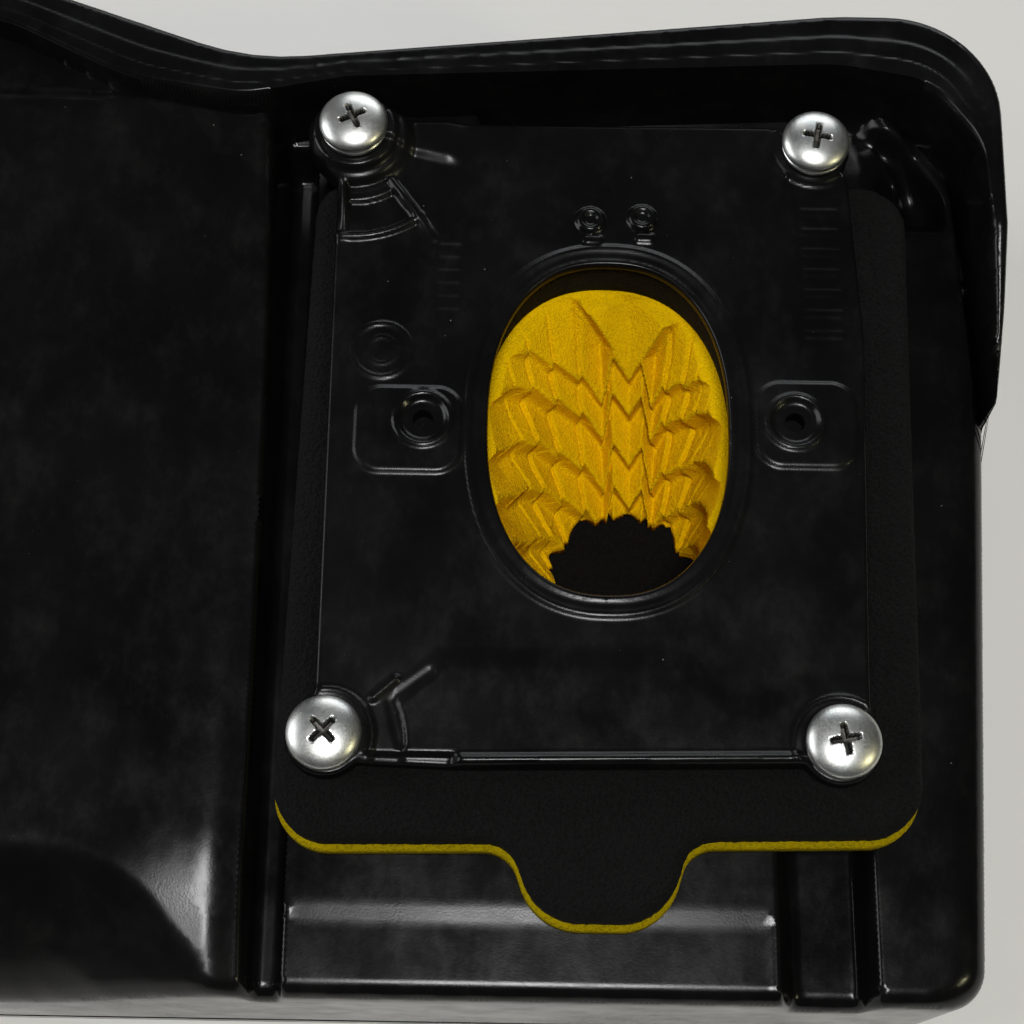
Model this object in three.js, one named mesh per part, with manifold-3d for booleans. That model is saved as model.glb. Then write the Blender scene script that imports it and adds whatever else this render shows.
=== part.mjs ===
// Foam air filter in its moulded air-cleaner case, as on a mid-size motorcycle.
// Millimetres, +Z up. The origin is on the underside of the case, below the centre of the oval intake.
// +X points to the case's narrow shoulder, +Y to its raised rim, -Y to the filter's pull tab.
import * as THREE from 'three';
import { mergeVertices } from 'three/addons/utils/BufferGeometryUtils.js';
import Module from 'manifold-3d';

const wasm = await Module();
wasm.setup();

// ---------------------------------------------------------------- driving dimensions
const GAP = 0.3;                      // running gap between pieces that touch
const WALL = 3;                       // moulded wall of the case
const ROOF = 4.5;                     // skin under the ledge
const BASE_THICK = 4;                 // closing plate
const SEAL_THICK = 1.4;
const LEDGE_TOP = 54;                 // ledge that the filter's flange lies on
const BODY_TOP = 60;                  // smooth half of the case
const RIM_TOP = 72;                   // raised rim along the far edge
const PLATE_TOP = 66;                 // intake plate
const PLATE_THICK = 3;
const SCREW_HALF_X = 42.3;            // the plate screws' rectangle, and its centre
const SCREW_HALF_Y = 56;
const SCREW_MID_X = -4.2;
const OVAL = { a: 21, b: 31, n: 2.35 };           // intake hole: half axes and squareness
const WELL = { x: 38, y: 47, r: 7 };              // hole in the ledge for the filter pocket
const LIP = 3;                        // cage lip and the rebate that it lies in
const FLANGE_YELLOW = 3;              // foam layers of the flange
const FLANGE_BLACK = 5.1;
const CORE_BOTTOM = 21;               // pocket floor level
const BACKING_BOTTOM = 15;
const OUTLET = { y: -8, z: 31, bore: 17.5, spigot: 20, collar: 23.5, hose: 23.5, length: 34 };
const DRAIN = { y: -60, z: 15, bore: 2.5, stub: 4.5, cap: 6.5 };

// levels that follow from the driving dimensions
const WALL_FOOT = BASE_THICK + SEAL_THICK + 2 * GAP;
const PLATE_BOTTOM = PLATE_TOP - PLATE_THICK;
const YELLOW_BOTTOM = LEDGE_TOP + GAP;
const YELLOW_TOP = YELLOW_BOTTOM + FLANGE_YELLOW;
const BLACK_BOTTOM = YELLOW_TOP + GAP;
const BLACK_TOP = PLATE_BOTTOM - GAP;
const CASE_LEFT = -135;
const CASE_NEAR = -96.5;
const TALL_BOSS = 4;                  // the plate's raised seat at its far left screw

// ---------------------------------------------------------------- materials
const plastic = { color: 0x17181a, roughness: 0.42, metalness: 0 };
const MATERIALS = {
  case: { ...plastic },
  plate: { ...plastic, color: 0x141516, roughness: 0.5 },
  cage: { ...plastic, color: 0x1d1e20, roughness: 0.6 },
  foamBlack: { color: 0x111111, roughness: 1, metalness: 0 },
  foamYellow: { color: 0xc89b06, roughness: 1, metalness: 0 },
  zinc: { color: 0xb9bbb4, roughness: 0.3, metalness: 1 },
  brass: { color: 0xb08d48, roughness: 0.35, metalness: 1 },
  rubber: { color: 0x1b1b1b, roughness: 0.8, metalness: 0 },
};

const group = new THREE.Group();

function addPiece(name, shape, material) {
  const mesh = new THREE.Mesh(geometryOf(shape), new THREE.MeshStandardMaterial(MATERIALS[material]));
  mesh.name = name;
  group.add(mesh);
  return mesh;
}

// ---------------------------------------------------------------- solids from three.js geometry
function signedVolume(vertices, triangles) {
  const corner = (i) => new THREE.Vector3().fromArray(vertices, 3 * triangles[i]);
  let volume = 0;
  for (let i = 0; i < triangles.length; i += 3) {
    volume += corner(i).dot(corner(i + 1).cross(corner(i + 2))) / 6;
  }
  return volume;
}

// A closed geometry as a solid, with its faces turned outwards.
function solid(geometry) {
  geometry.deleteAttribute('normal');
  geometry.deleteAttribute('uv');
  const merged = mergeVertices(geometry, 1e-4);
  const vertProperties = new Float32Array(merged.attributes.position.array);
  const source = merged.index.array;
  const kept = [];
  for (let i = 0; i < source.length; i += 3) {
    const [a, b, c] = source.slice(i, i + 3);
    if (a !== b && b !== c && c !== a) kept.push(a, b, c);
  }
  if (signedVolume(vertProperties, kept) < 0) kept.reverse();
  return new wasm.Manifold(new wasm.Mesh({ numProp: 3, vertProperties, triVerts: new Uint32Array(kept) }));
}

function geometryOf(shape) {
  const mesh = shape.getMesh();
  const geometry = new THREE.BufferGeometry();
  geometry.setAttribute('position', new THREE.BufferAttribute(new Float32Array(mesh.vertProperties), 3));
  geometry.setIndex(new THREE.BufferAttribute(new Uint32Array(mesh.triVerts), 1));
  geometry.computeVertexNormals();
  return geometry;
}

const joined = (shapes) => shapes.reduce((all, shape) => all.add(shape));
const cutBy = (shape, tools) => tools.reduce((rest, tool) => rest.subtract(tool), shape);

// ---------------------------------------------------------------- outlines
const ARC_STEP = THREE.MathUtils.degToRad(18);

// Corners [x, y, radius], counterclockwise, as points with a true arc at each corner.
function rounded(corners) {
  const points = [];
  corners.forEach(([x, y, radius], i) => {
    const here = new THREE.Vector2(x, y);
    const towards = (corner) => new THREE.Vector2(corner[0] - x, corner[1] - y).normalize();
    const back = towards(corners.at(i - 1));
    const ahead = towards(corners[(i + 1) % corners.length]);
    const half = Math.acos(THREE.MathUtils.clamp(back.dot(ahead), -1, 1)) / 2;
    const centre = back.clone().add(ahead).setLength(radius / Math.sin(half)).add(here);
    const reach = radius / Math.tan(half);
    const start = back.multiplyScalar(reach).add(here).sub(centre);
    const end = ahead.multiplyScalar(reach).add(here).sub(centre);
    const sweep = Math.atan2(start.cross(end), start.dot(end));
    const steps = Math.max(1, Math.ceil(Math.abs(sweep) / ARC_STEP));
    for (let k = 0; k <= steps; k += 1) {
      points.push(start.clone().rotateAround(new THREE.Vector2(), (sweep * k) / steps).add(centre));
    }
  });
  return points;
}

const box2 = (x, y, r, midX = 0, midY = 0) => rounded([
  [midX - x, midY - y, r], [midX + x, midY - y, r], [midX + x, midY + y, r], [midX - x, midY + y, r],
]);

// A counterclockwise outline moved inwards by a distance, with mitred corners.
function inset(points, distance) {
  const inward = (from, to) => new THREE.Vector2(from.y - to.y, to.x - from.x).normalize();
  return points.map((here, i) => {
    const a = inward(points.at(i - 1), here);
    const b = inward(here, points[(i + 1) % points.length]);
    return a.clone().add(b).multiplyScalar(distance / (1 + a.dot(b))).add(here);
  });
}

function superellipse({ a, b, n, x = 0, y = 0 }, count = 32) {
  return Array.from({ length: count }, (_, i) => {
    const angle = (2 * Math.PI * i) / count;
    const power = (value) => Math.sign(value) * Math.abs(value) ** (2 / n);
    return new THREE.Vector2(x + a * power(Math.cos(angle)), y + b * power(Math.sin(angle)));
  });
}

// ---------------------------------------------------------------- basic solids
function extrude(outline, low, high, holes = []) {
  const shape = new THREE.Shape(outline);
  shape.holes = holes.map((hole) => new THREE.Path(hole));
  const geometry = new THREE.ExtrudeGeometry(shape, { depth: high - low, bevelEnabled: false });
  return solid(geometry.translate(0, 0, low));
}

function block(low, high) {
  const size = new THREE.Vector3().subVectors(high, low);
  const middle = new THREE.Vector3().addVectors(low, high).multiplyScalar(0.5);
  return solid(new THREE.BoxGeometry(...size).translate(...middle));
}
const vec = (x, y, z) => new THREE.Vector3(x, y, z);

function rod(radius, low, high, x = 0, y = 0, sides = 16) {
  const geometry = new THREE.CylinderGeometry(radius, radius, high - low, sides);
  return solid(geometry.rotateX(Math.PI / 2).translate(x, y, (low + high) / 2));
}

// A profile of [radius, height] turned about the Z axis.
function turned(profile, sides = 20) {
  const points = profile.map(([radius, height]) => new THREE.Vector2(radius, height));
  return solid(new THREE.LatheGeometry(points, sides).rotateX(Math.PI / 2));
}

const closedRing = (inner, outer, low, high) => [
  [inner, low], [outer, low], [outer, high], [inner, high], [inner, low],
];

// A skin through equal rings of points, closed by a fan at each end.
function loft(rings) {
  const count = rings[0].length;
  const middle = (ring) => ring.reduce((sum, p) => sum.add(p), vec(0, 0, 0)).divideScalar(count);
  const points = [...rings.flat(), middle(rings[0]), middle(rings.at(-1))];
  const faces = [];
  for (let k = 0; k < count; k += 1) {
    const next = (k + 1) % count;
    for (let row = 0; row < rings.length - 1; row += 1) {
      const [a, b] = [row * count + k, row * count + next];
      faces.push(a, b, b + count, a, b + count, a + count);
    }
    const last = (rings.length - 1) * count;
    faces.push(points.length - 2, next, k, points.length - 1, last + k, last + next);
  }
  const geometry = new THREE.BufferGeometry().setFromPoints(points);
  return solid(geometry.setIndex(faces));
}

// ---------------------------------------------------------------- case outlines
const CASE_OUTLINE = rounded([
  [CASE_LEFT, CASE_NEAR, 14], [63, CASE_NEAR, 7], [71, 25, 80], [72.5, 81.5, 20],
  [42, 81.5, 40], [-66, 69.8, 45], [-112, 86.5, 35], [CASE_LEFT, 92, 12],
]);

// Everything outside this line, seen from the ledge, is the raised rim.
const RIM_OUTLINE = rounded([
  [CASE_LEFT - 5, 82, 6], [-112, 77, 30], [-88, 65, 30], [-67, 61.5, 20], [-48, 65.6, 15],
  [42, 70, 25], [59, 67, 12], [67.5, 55, 14], [69.5, 8, 4], [90, 8, 5], [90, 110, 5], [CASE_LEFT - 5, 110, 5],
]);

const DITCH = { far: [-60.5, 62], near: [-59, CASE_NEAR - 3], width: 5.6, floor: 46 };
const DITCH_ANGLE = Math.atan2(DITCH.near[1] - DITCH.far[1], DITCH.near[0] - DITCH.far[0]);
const CORNER_PIT = { left: 56, near: 46.5, floor: 46 };
const CHANNEL = { left: 28, right: 45.2, far: -66, floor: 44 };   // recess in the near part of the ledge

const SCREWS = [
  { x: -1, y: 1, seat: PLATE_TOP + TALL_BOSS },
  { x: 1, y: 1, seat: PLATE_TOP },
  { x: -1, y: -1, seat: PLATE_TOP },
  { x: 1, y: -1, seat: PLATE_TOP },
].map(({ x, y, seat }) => ({ x: SCREW_MID_X + x * SCREW_HALF_X, y: y * SCREW_HALF_Y, seat }));

const BASE_SCREWS = [[-126.5, -88.5], [-36, -90.3], [55, -90.3], [64.3, 30], [-20, 69.5], [-128.6, 76]];
const POST_RADIUS = 5;
const BASE_POST_RADIUS = 4.5;
const BASE_POST_TOP = 24;
const BASE_THREAD = { radius: 1.7, top: 20 };

// ---------------------------------------------------------------- case body
// The smooth half: a flat top that ends at the ditch.
function smoothHalf() {
  const corner = ([x, y]) => new THREE.Vector2(x, y);
  const plan = [corner([CASE_LEFT - 20, CASE_NEAR - 3]), corner(DITCH.near), corner(DITCH.far),
    corner([DITCH.far[0], 110]), corner([CASE_LEFT - 20, 110])];
  return extrude(plan, WALL_FOOT, BODY_TOP).intersect(extrude(CASE_OUTLINE, 0, RIM_TOP));
}

// What the smooth half's steep near face leaves away. Its upper edge runs level, then slants to the near corner.
function nearFall(margin) {
  const stations = [[CASE_LEFT - 10, -72], [-84, -72.5], [DITCH.far[0] + 0.5, -92]];
  const rings = stations.map(([x, edge]) => [
    [edge + margin, BODY_TOP + 5], [edge + margin, BODY_TOP - 4 - margin],
    [THREE.MathUtils.lerp(edge, CASE_NEAR, 0.6) + margin, 36 - margin],
    [CASE_NEAR + 1 + margin, 14 - margin], [CASE_NEAR - 8, 14 - margin], [CASE_NEAR - 8, BODY_TOP + 5],
  ].map(([y, z]) => vec(x, y, z)));
  return loft(rings);
}

function ditch(margin) {
  return block(vec(-DITCH.width / 2 - margin, -170, DITCH.floor - margin), vec(DITCH.width / 2 + margin, 12, RIM_TOP))
    .rotate([0, 0, THREE.MathUtils.radToDeg(DITCH_ANGLE) + 90])
    .translate([DITCH.far[0] + DITCH.width / 2, 38, 0]);
}

function channel(margin) {
  return block(vec(CHANNEL.left - margin, CASE_NEAR - 5, CHANNEL.floor - margin),
    vec(CHANNEL.right + margin, CHANNEL.far + margin, RIM_TOP));
}

function rimBand(outline, mask, low, high) {
  const band = extrude(outline, low, high).intersect(extrude(mask, low, high));
  const fall = [[38, RIM_TOP + 1], [4, 60], [4, 120], [38, 120]].map(([y, z]) => new THREE.Vector2(y, z));
  const wedge = new THREE.ExtrudeGeometry(new THREE.Shape(fall), { depth: 60, bevelEnabled: false });
  return band.subtract(solid(wedge.rotateX(Math.PI / 2).rotateZ(Math.PI / 2).translate(40, 0, 0)));
}

// The deep scoop in the far corner, between the ledge's end and the rim.
function cornerPit(margin) {
  const pit = block(vec(CORNER_PIT.left - margin, CORNER_PIT.near - margin, CORNER_PIT.floor - margin),
    vec(90, 90, RIM_TOP + 1));
  return pit.subtract(extrude(inset(RIM_OUTLINE, margin), 0, RIM_TOP + 2));
}

function caseCavity() {
  const inner = inset(CASE_OUTLINE, WALL);
  const general = extrude(inner, -1, 44);
  const underLedge = block(vec(-53, -120, 40), vec(100, 120, LEDGE_TOP - ROOF));
  const underSmooth = block(vec(-200, -120, 40), vec(-65, 120, BODY_TOP - ROOF));
  const upper = extrude(inner, 40, BODY_TOP).intersect(underLedge.add(underSmooth));
  const rim = rimBand(inner, inset(RIM_OUTLINE, WALL), 40, RIM_TOP - WALL);
  return cutBy(joined([general, upper, rim]), [nearFall(WALL), ditch(WALL), channel(WALL), cornerPit(WALL)]);
}

function caseBody() {
  const ledge = extrude(CASE_OUTLINE, WALL_FOOT, LEDGE_TOP);
  const shell = joined([ledge, smoothHalf(), rimBand(CASE_OUTLINE, RIM_OUTLINE, LEDGE_TOP - 1, RIM_TOP)]);
  const hollow = cutBy(shell, [caseCavity()]);

  const posts = SCREWS.map(({ x, y }) => rod(POST_RADIUS, 36, PLATE_BOTTOM - GAP, x, y));
  const basePosts = BASE_SCREWS.map(([x, y]) => rod(BASE_POST_RADIUS, WALL_FOOT, BASE_POST_TOP, x, y, 12));
  const drain = rod(DRAIN.stub, 0, WALL + 12, 0, 0, 16).rotate([0, -90, 0])
    .translate([CASE_LEFT + WALL, DRAIN.y, DRAIN.z]);
  const full = joined([cutBy(hollow, [nearFall(0)]), ...posts, ...basePosts, drain]);

  const well = extrude(box2(WELL.x, WELL.y, WELL.r), 30, LEDGE_TOP + 1);
  const rebate = extrude(box2(WELL.x + LIP + GAP, WELL.y + LIP + GAP, WELL.r + LIP), LEDGE_TOP - 1.8, LEDGE_TOP + 1);
  const bores = SCREWS.map(({ x, y }) => rod(3.6, 40, PLATE_TOP, x, y, 14));
  const threads = BASE_SCREWS.map(([x, y]) => rod(BASE_THREAD.radius, 0, BASE_THREAD.top, x, y, 8));
  const outlet = rod(OUTLET.spigot + GAP, -1, WALL + 1, 0, 0, 24).rotate([0, -90, 0])
    .translate([CASE_LEFT + WALL, OUTLET.y, OUTLET.z]);
  const drainBore = rod(DRAIN.bore, -1, WALL + 14, 0, 0, 12).rotate([0, -90, 0])
    .translate([CASE_LEFT + WALL, DRAIN.y, DRAIN.z]);
  return cutBy(full, [well, rebate, ...bores, ...threads, outlet, drainBore, ditch(0), channel(0),
    cornerPit(0)]);
}
addPiece('case_body', caseBody(), 'case');

// ---------------------------------------------------------------- closing plate, seal and screws
const BASE_SCREW = { head: 4, headHeight: 2, shank: 1.4, length: 14, seat: 2.4 };

function caseBase() {
  const plate = extrude(CASE_OUTLINE, 0, BASE_THICK);
  const holes = BASE_SCREWS.map(([x, y]) => rod(1.9, -1, BASE_THICK + 1, x, y, 10));
  const sinks = BASE_SCREWS.map(([x, y]) => rod(4.6, -1, BASE_SCREW.seat, x, y, 14));
  return cutBy(plate, [...holes, ...sinks]);
}
addPiece('case_base', caseBase(), 'case');

const sealLow = BASE_THICK + GAP;
const sealRing = extrude(inset(CASE_OUTLINE, 0.4), sealLow, sealLow + SEAL_THICK, [inset(CASE_OUTLINE, WALL)]);
addPiece('base_seal', sealRing, 'rubber');

// A cross recess, cut downwards from height z with arms that narrow with depth.
function crossRecess(reach, width, depth, z) {
  const arm = () => new THREE.CylinderGeometry(reach * Math.SQRT1_2, reach * 0.35, depth, 4)
    .rotateX(Math.PI / 2).rotateZ(Math.PI / 4);
  const along = arm().scale(1, width / reach / Math.SQRT1_2 / 1.42, 1);
  const across = arm().scale(width / reach / Math.SQRT1_2 / 1.42, 1, 1);
  const shift = z - depth / 2 + 0.05;
  return solid(along.translate(0, 0, shift)).add(solid(across.translate(0, 0, shift)));
}

BASE_SCREWS.forEach(([x, y], i) => {
  const { head, headHeight, shank, length, seat } = BASE_SCREW;
  const blank = turned([[0, 0], [head * 0.7, 0], [head, headHeight * 0.5], [head, headHeight],
    [shank, headHeight], [shank, headHeight + length - 1], [0, headHeight + length]], 12);
  const recess = crossRecess(2.2, 0.9, 1.4, 0).rotate([180, 0, 0]);
  addPiece(`base_screw_${i + 1}`, blank.subtract(recess).translate([x, y, seat - headHeight - GAP]), 'zinc');
});

// ---------------------------------------------------------------- support cage
const CAGE_WALL = 1.6;
const CAGE_BOTTOM = BACKING_BOTTOM - GAP - 2.3;

function supportCage() {
  const [x, y] = [WELL.x - GAP, WELL.y - GAP];
  const lipLow = LEDGE_TOP - 1.8 + GAP;
  const inner = box2(x - CAGE_WALL, y - CAGE_WALL, WELL.r - CAGE_WALL);
  const lip = extrude(box2(x + LIP, y + LIP, WELL.r + LIP - GAP), lipLow, LEDGE_TOP - 0.1, [inner]);
  const basket = extrude(box2(x, y, WELL.r - GAP), CAGE_BOTTOM, lipLow + 0.5, [inner]);
  const floor = extrude(box2(x - 0.5, y - 0.5, WELL.r - 0.5), CAGE_BOTTOM, CAGE_BOTTOM + 2);
  const windows = [];
  const [low, high] = [CAGE_BOTTOM + 5, lipLow - 4];
  for (const along of [-24, 0, 24]) windows.push(block(vec(-60, along - 9, low), vec(60, along + 9, high)));
  for (const along of [-18, 0, 18]) windows.push(block(vec(along - 6.5, -60, low), vec(along + 6.5, 60, high)));
  for (const across of [-22.5, 0, 22.5]) {
    for (const along of [-33, -11, 11, 33]) {
      windows.push(block(vec(across - 9, along - 8.5, 0), vec(across + 9, along + 8.5, CAGE_BOTTOM + 3)));
    }
  }
  return cutBy(joined([lip, basket, floor]), windows);
}
addPiece('support_cage', supportCage(), 'cage');

// ---------------------------------------------------------------- outlet duct and its clamp
function ringAlongX(inner, outer, start, length, sides = 24) {
  return turned(closedRing(inner, outer, 0, length), sides).rotate([0, -90, 0])
    .translate([start, OUTLET.y, OUTLET.z]);
}

// The spigot is pushed through the wall from inside, up to its collar.
const spigotProfile = [[OUTLET.bore, 0], [OUTLET.collar, 0], [OUTLET.collar, 2], [OUTLET.spigot, 2],
  [OUTLET.spigot, WALL + 14], [OUTLET.bore, WALL + 14], [OUTLET.bore, 0]];
addPiece('outlet_spigot', turned(spigotProfile, 24).rotate([0, -90, 0])
  .translate([CASE_LEFT + WALL + GAP + 2, OUTLET.y, OUTLET.z]), 'case');

const jointStart = CASE_LEFT - 2;
const clampStart = jointStart - 4;
const clampInner = OUTLET.hose + GAP;
const outletProfile = [
  [OUTLET.spigot + GAP, 0], [OUTLET.hose, 0], [OUTLET.hose, OUTLET.length * 0.55],
  [OUTLET.hose + 1.5, OUTLET.length * 0.62], [OUTLET.hose + 1.5, OUTLET.length], [OUTLET.bore, OUTLET.length],
  [OUTLET.bore, 11.5], [OUTLET.spigot + GAP, 11.5], [OUTLET.spigot + GAP, 0],
];
const outletJoint = turned(outletProfile, 24).rotate([0, -90, 0]).translate([jointStart, OUTLET.y, OUTLET.z]);
addPiece('outlet_joint', outletJoint, 'rubber');

const lugTop = OUTLET.z + clampInner;
const clampBand = ringAlongX(clampInner, clampInner + 1.2, clampStart, 8);
const lugBlock = block(vec(clampStart - 8, OUTLET.y - 5, lugTop - 0.6), vec(clampStart, OUTLET.y + 5, lugTop + 8));
const lugSlot = block(vec(clampStart - 9, OUTLET.y - 1.5, lugTop - 4), vec(clampStart + 1, OUTLET.y + 1.5, lugTop + 9));
const lugBore = rod(2.3, -8, 8, 0, 0, 16).rotate([90, 0, 0]).translate([clampStart - 4, OUTLET.y, lugTop + 4.4]);
const lugClear = rod(clampInner, -10, 10, 0, 0, 24).rotate([0, 90, 0]).translate([clampStart - 4, OUTLET.y, OUTLET.z]);
addPiece('outlet_clamp', cutBy(clampBand.add(lugBlock), [lugClear, lugSlot, lugBore]), 'zinc');

const clampScrew = turned([[0, -6], [2, -6], [2, 5.3], [3.6, 5.3], [3.6, 7.6], [3, 8.3], [0, 8.3]], 16)
  .subtract(crossRecess(2, 0.8, 1.4, 8.3));
addPiece('outlet_clamp_screw', clampScrew.rotate([90, 0, 0])
  .translate([clampStart - 4, OUTLET.y, lugTop + 4.4]), 'zinc');

// ---------------------------------------------------------------- drain cap and its spring clip
const capProfile = [[DRAIN.stub + GAP, 0], [DRAIN.cap, 0], [DRAIN.cap, 15], [DRAIN.cap - 2, 17], [0, 17], [0, 13],
  [DRAIN.stub + GAP, 13], [DRAIN.stub + GAP, 0]];
const capStart = CASE_LEFT - GAP;
addPiece('drain_cap', turned(capProfile, 20).rotate([0, -90, 0]).translate([capStart, DRAIN.y, DRAIN.z]), 'rubber');

const clipRing = turned(closedRing(DRAIN.cap + GAP, DRAIN.cap + 1.5, 3, 8), 20);
const clipEars = [-1, 1].map((side) => block(vec(DRAIN.cap - 0.2, side * 3 - 0.7, 3), vec(DRAIN.cap + 6, side * 3 + 0.7, 8)));
const clipCore = rod(DRAIN.cap + GAP, 0, 10, 0, 0, 20);
const drainClip = cutBy(joined([clipRing, ...clipEars]), [clipCore]);
addPiece('drain_clip', drainClip.rotate([0, -90, 0]).translate([capStart, DRAIN.y, DRAIN.z]), 'zinc');

// ---------------------------------------------------------------- filter element
const FLANGE_CORNERS = [
  [-55, -72.5, 9], [-15.8, -71.8, 6], [-11.5, -84.6, 10], [9.6, -84.6, 10], [13.6, -71, 6], [51.8, -70, 9],
  [55.3, 50.3, 8], [-53.5, 50.3, 8],
];
const nearScrews = SCREWS.filter(({ y }) => y < 0);

function flange(low, high, trim, hole) {
  const sheet = extrude(inset(rounded(FLANGE_CORNERS), trim), low, high, [superellipse(hole)]);
  return cutBy(sheet, nearScrews.map(({ x, y }) => rod(POST_RADIUS + 0.7, low - 1, high + 1, x, y)));
}
addPiece('foam_flange_black', flange(BLACK_BOTTOM, BLACK_TOP, 0, { ...OVAL, a: 22.5, b: 32 }), 'foamBlack');
addPiece('foam_flange_yellow', flange(YELLOW_BOTTOM, YELLOW_TOP, 0.6, { ...OVAL, a: 25, b: 35 }), 'foamYellow');

const BACKING = { x: WELL.x - 2 * GAP - CAGE_WALL, y: WELL.y - 2 * GAP - CAGE_WALL, r: 5, wall: 4, floor: 5.7 };
const CORE = { x: BACKING.x - BACKING.wall - GAP, y: BACKING.y - BACKING.wall - GAP, r: 2 };
const POCKET_MOUTH = { a: 23.5, b: 31.5, n: 2.35, x: 0, y: 0 };
const POCKET_FLOOR = { a: 16, b: 17, n: 2.2, x: 5, y: -17 };

// The pocket narrows and moves towards the near side as it goes down.
function pocketRing(depthShare, z) {
  const ease = depthShare ** 1.15;
  const mix = (key) => THREE.MathUtils.lerp(POCKET_MOUTH[key], POCKET_FLOOR[key], ease);
  const ring = superellipse({ a: mix('a'), b: mix('b'), n: mix('n'), x: mix('x'), y: mix('y') });
  return ring.map((p) => vec(p.x, p.y, z));
}

function foamCore() {
  const top = LEDGE_TOP;
  const steps = 6;
  const rings = [pocketRing(1, CORE_BOTTOM - 1)];
  for (let k = steps; k >= 0; k -= 1) {
    rings.push(pocketRing(k / steps, THREE.MathUtils.lerp(top, CORE_BOTTOM, k / steps)));
  }
  rings.push(pocketRing(0, top + 1));
  return extrude(box2(CORE.x, CORE.y, CORE.r), CORE_BOTTOM, top).subtract(loft(rings));
}
addPiece('foam_core_yellow', foamCore(), 'foamYellow');

const backingBlock = extrude(box2(BACKING.x, BACKING.y, BACKING.r), BACKING_BOTTOM, LEDGE_TOP);
const backingHollow = extrude(box2(BACKING.x - BACKING.wall, BACKING.y - BACKING.wall, 2.2),
  BACKING_BOTTOM + BACKING.floor, LEDGE_TOP + 1);
addPiece('foam_backing_black', backingBlock.subtract(backingHollow), 'foamBlack');

// ---------------------------------------------------------------- intake plate
const PLATE_OUTLINE = rounded([
  [-48.5, -60, 5], [-25, -60.8, 3], [34, -59.5, 3], [43.2, -52.5, 6], [45.6, 18, 40], [44, 52, 8], [31, 60.5, 6],
  [-49.6, 60, 4],
]);
const EAR_RADIUS = 6.6;
const SHANK_HOLE = 2.8;
const GUIDE_EARS = [{ x: -34.8, y: -1.5, half: 9.3 }, { x: 34.6, y: 0.6, half: 8.8 }];
const NIPPLES = [[-3.2, 40], [6.2, 40.6]];

function intakePlate() {
  const sheet = extrude(PLATE_OUTLINE, PLATE_BOTTOM, PLATE_TOP);
  const ears = SCREWS.map(({ x, y }) => rod(EAR_RADIUS, PLATE_BOTTOM, PLATE_TOP, x, y, 20));
  const tall = turned([[0, PLATE_BOTTOM + 1], [8.6, PLATE_BOTTOM + 1], [8.6, PLATE_TOP], [7.4, PLATE_TOP + TALL_BOSS],
    [0, PLATE_TOP + TALL_BOSS]], 20).translate([SCREWS[0].x, SCREWS[0].y, 0]);
  const guides = GUIDE_EARS.map(({ x, y, half }) => extrude(box2(half, 8, 5, x, y), PLATE_TOP - 1, PLATE_TOP + 0.8));
  const lip = extrude(superellipse({ ...OVAL, a: 24.5, b: 36 }), PLATE_TOP - 1, PLATE_TOP + 0.6);
  const nipples = NIPPLES.map(([x, y]) => rod(2.4, PLATE_TOP - 1, PLATE_TOP + 1.4, x, y, 12));
  const full = joined([sheet, ...ears, tall, ...guides, lip, ...nipples]);
  const oval = extrude(superellipse(OVAL), PLATE_BOTTOM - 1, PLATE_TOP + 3);
  const holes = SCREWS.map(({ x, y, seat }) => rod(SHANK_HOLE, PLATE_BOTTOM - 1, seat + 1, x, y, 12));
  const dimples = [[-32.3, 0.4], [32.6, 1]].map(([x, y]) => rod(1.8, PLATE_BOTTOM - 1, PLATE_TOP + 2, x, y, 12));
  return cutBy(full, [oval, ...holes, ...dimples]);
}
addPiece('intake_plate', intakePlate(), 'plate');

// ---------------------------------------------------------------- plate screws, washers and inserts
const WASHER = { inner: 2.7, outer: 6.0, thick: 1.1 };
const HEAD = { radius: 6.2, height: 3.1, rimHeight: 0.7 };
const SHANK = { radius: 2.35, length: 18 };
const DOME_STEPS = 3;

function screwProfile() {
  const dome = Array.from({ length: DOME_STEPS + 1 }, (_, i) => {
    const angle = (Math.PI / 2) * (i / DOME_STEPS);
    return [HEAD.radius * Math.cos(angle), HEAD.rimHeight + (HEAD.height - HEAD.rimHeight) * Math.sin(angle)];
  });
  dome.at(-1)[0] = 0;
  return [[0, -SHANK.length], [SHANK.radius - 0.8, -SHANK.length], [SHANK.radius, 1 - SHANK.length],
    [SHANK.radius, 0], [HEAD.radius - 0.4, 0], ...dome];
}

SCREWS.forEach(({ x, y, seat }, i) => {
  const number = i + 1;
  const washerLow = seat + GAP;
  const washer = turned(closedRing(WASHER.inner, WASHER.outer, 0, WASHER.thick));
  addPiece(`washer_${number}`, washer.translate([x, y, washerLow]), 'zinc');

  const screw = turned(screwProfile(), 18).subtract(crossRecess(2.5, 1.1, 1.9, HEAD.height));
  const turn = 20 + 55 * i;
  addPiece(`plate_screw_${number}`, screw.rotate([0, 0, turn])
    .translate([x, y, washerLow + WASHER.thick + GAP]), 'zinc');

  const insert = turned(closedRing(SHANK.radius + GAP, 3.3, 50, PLATE_BOTTOM - 2 * GAP), 16);
  addPiece(`thread_insert_${number}`, insert.translate([x, y, 0]), 'brass');
});

export default group;
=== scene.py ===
"""Looks for the foam air filter in its moulded case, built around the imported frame.

Shapes are worked out in millimetres in the frame's own axes and become metres when a mesh is made.
"""

import math

import bmesh
import bpy
import numpy as np
from mathutils import Matrix, Vector
from mathutils.geometry import delaunay_2d_cdt


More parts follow.
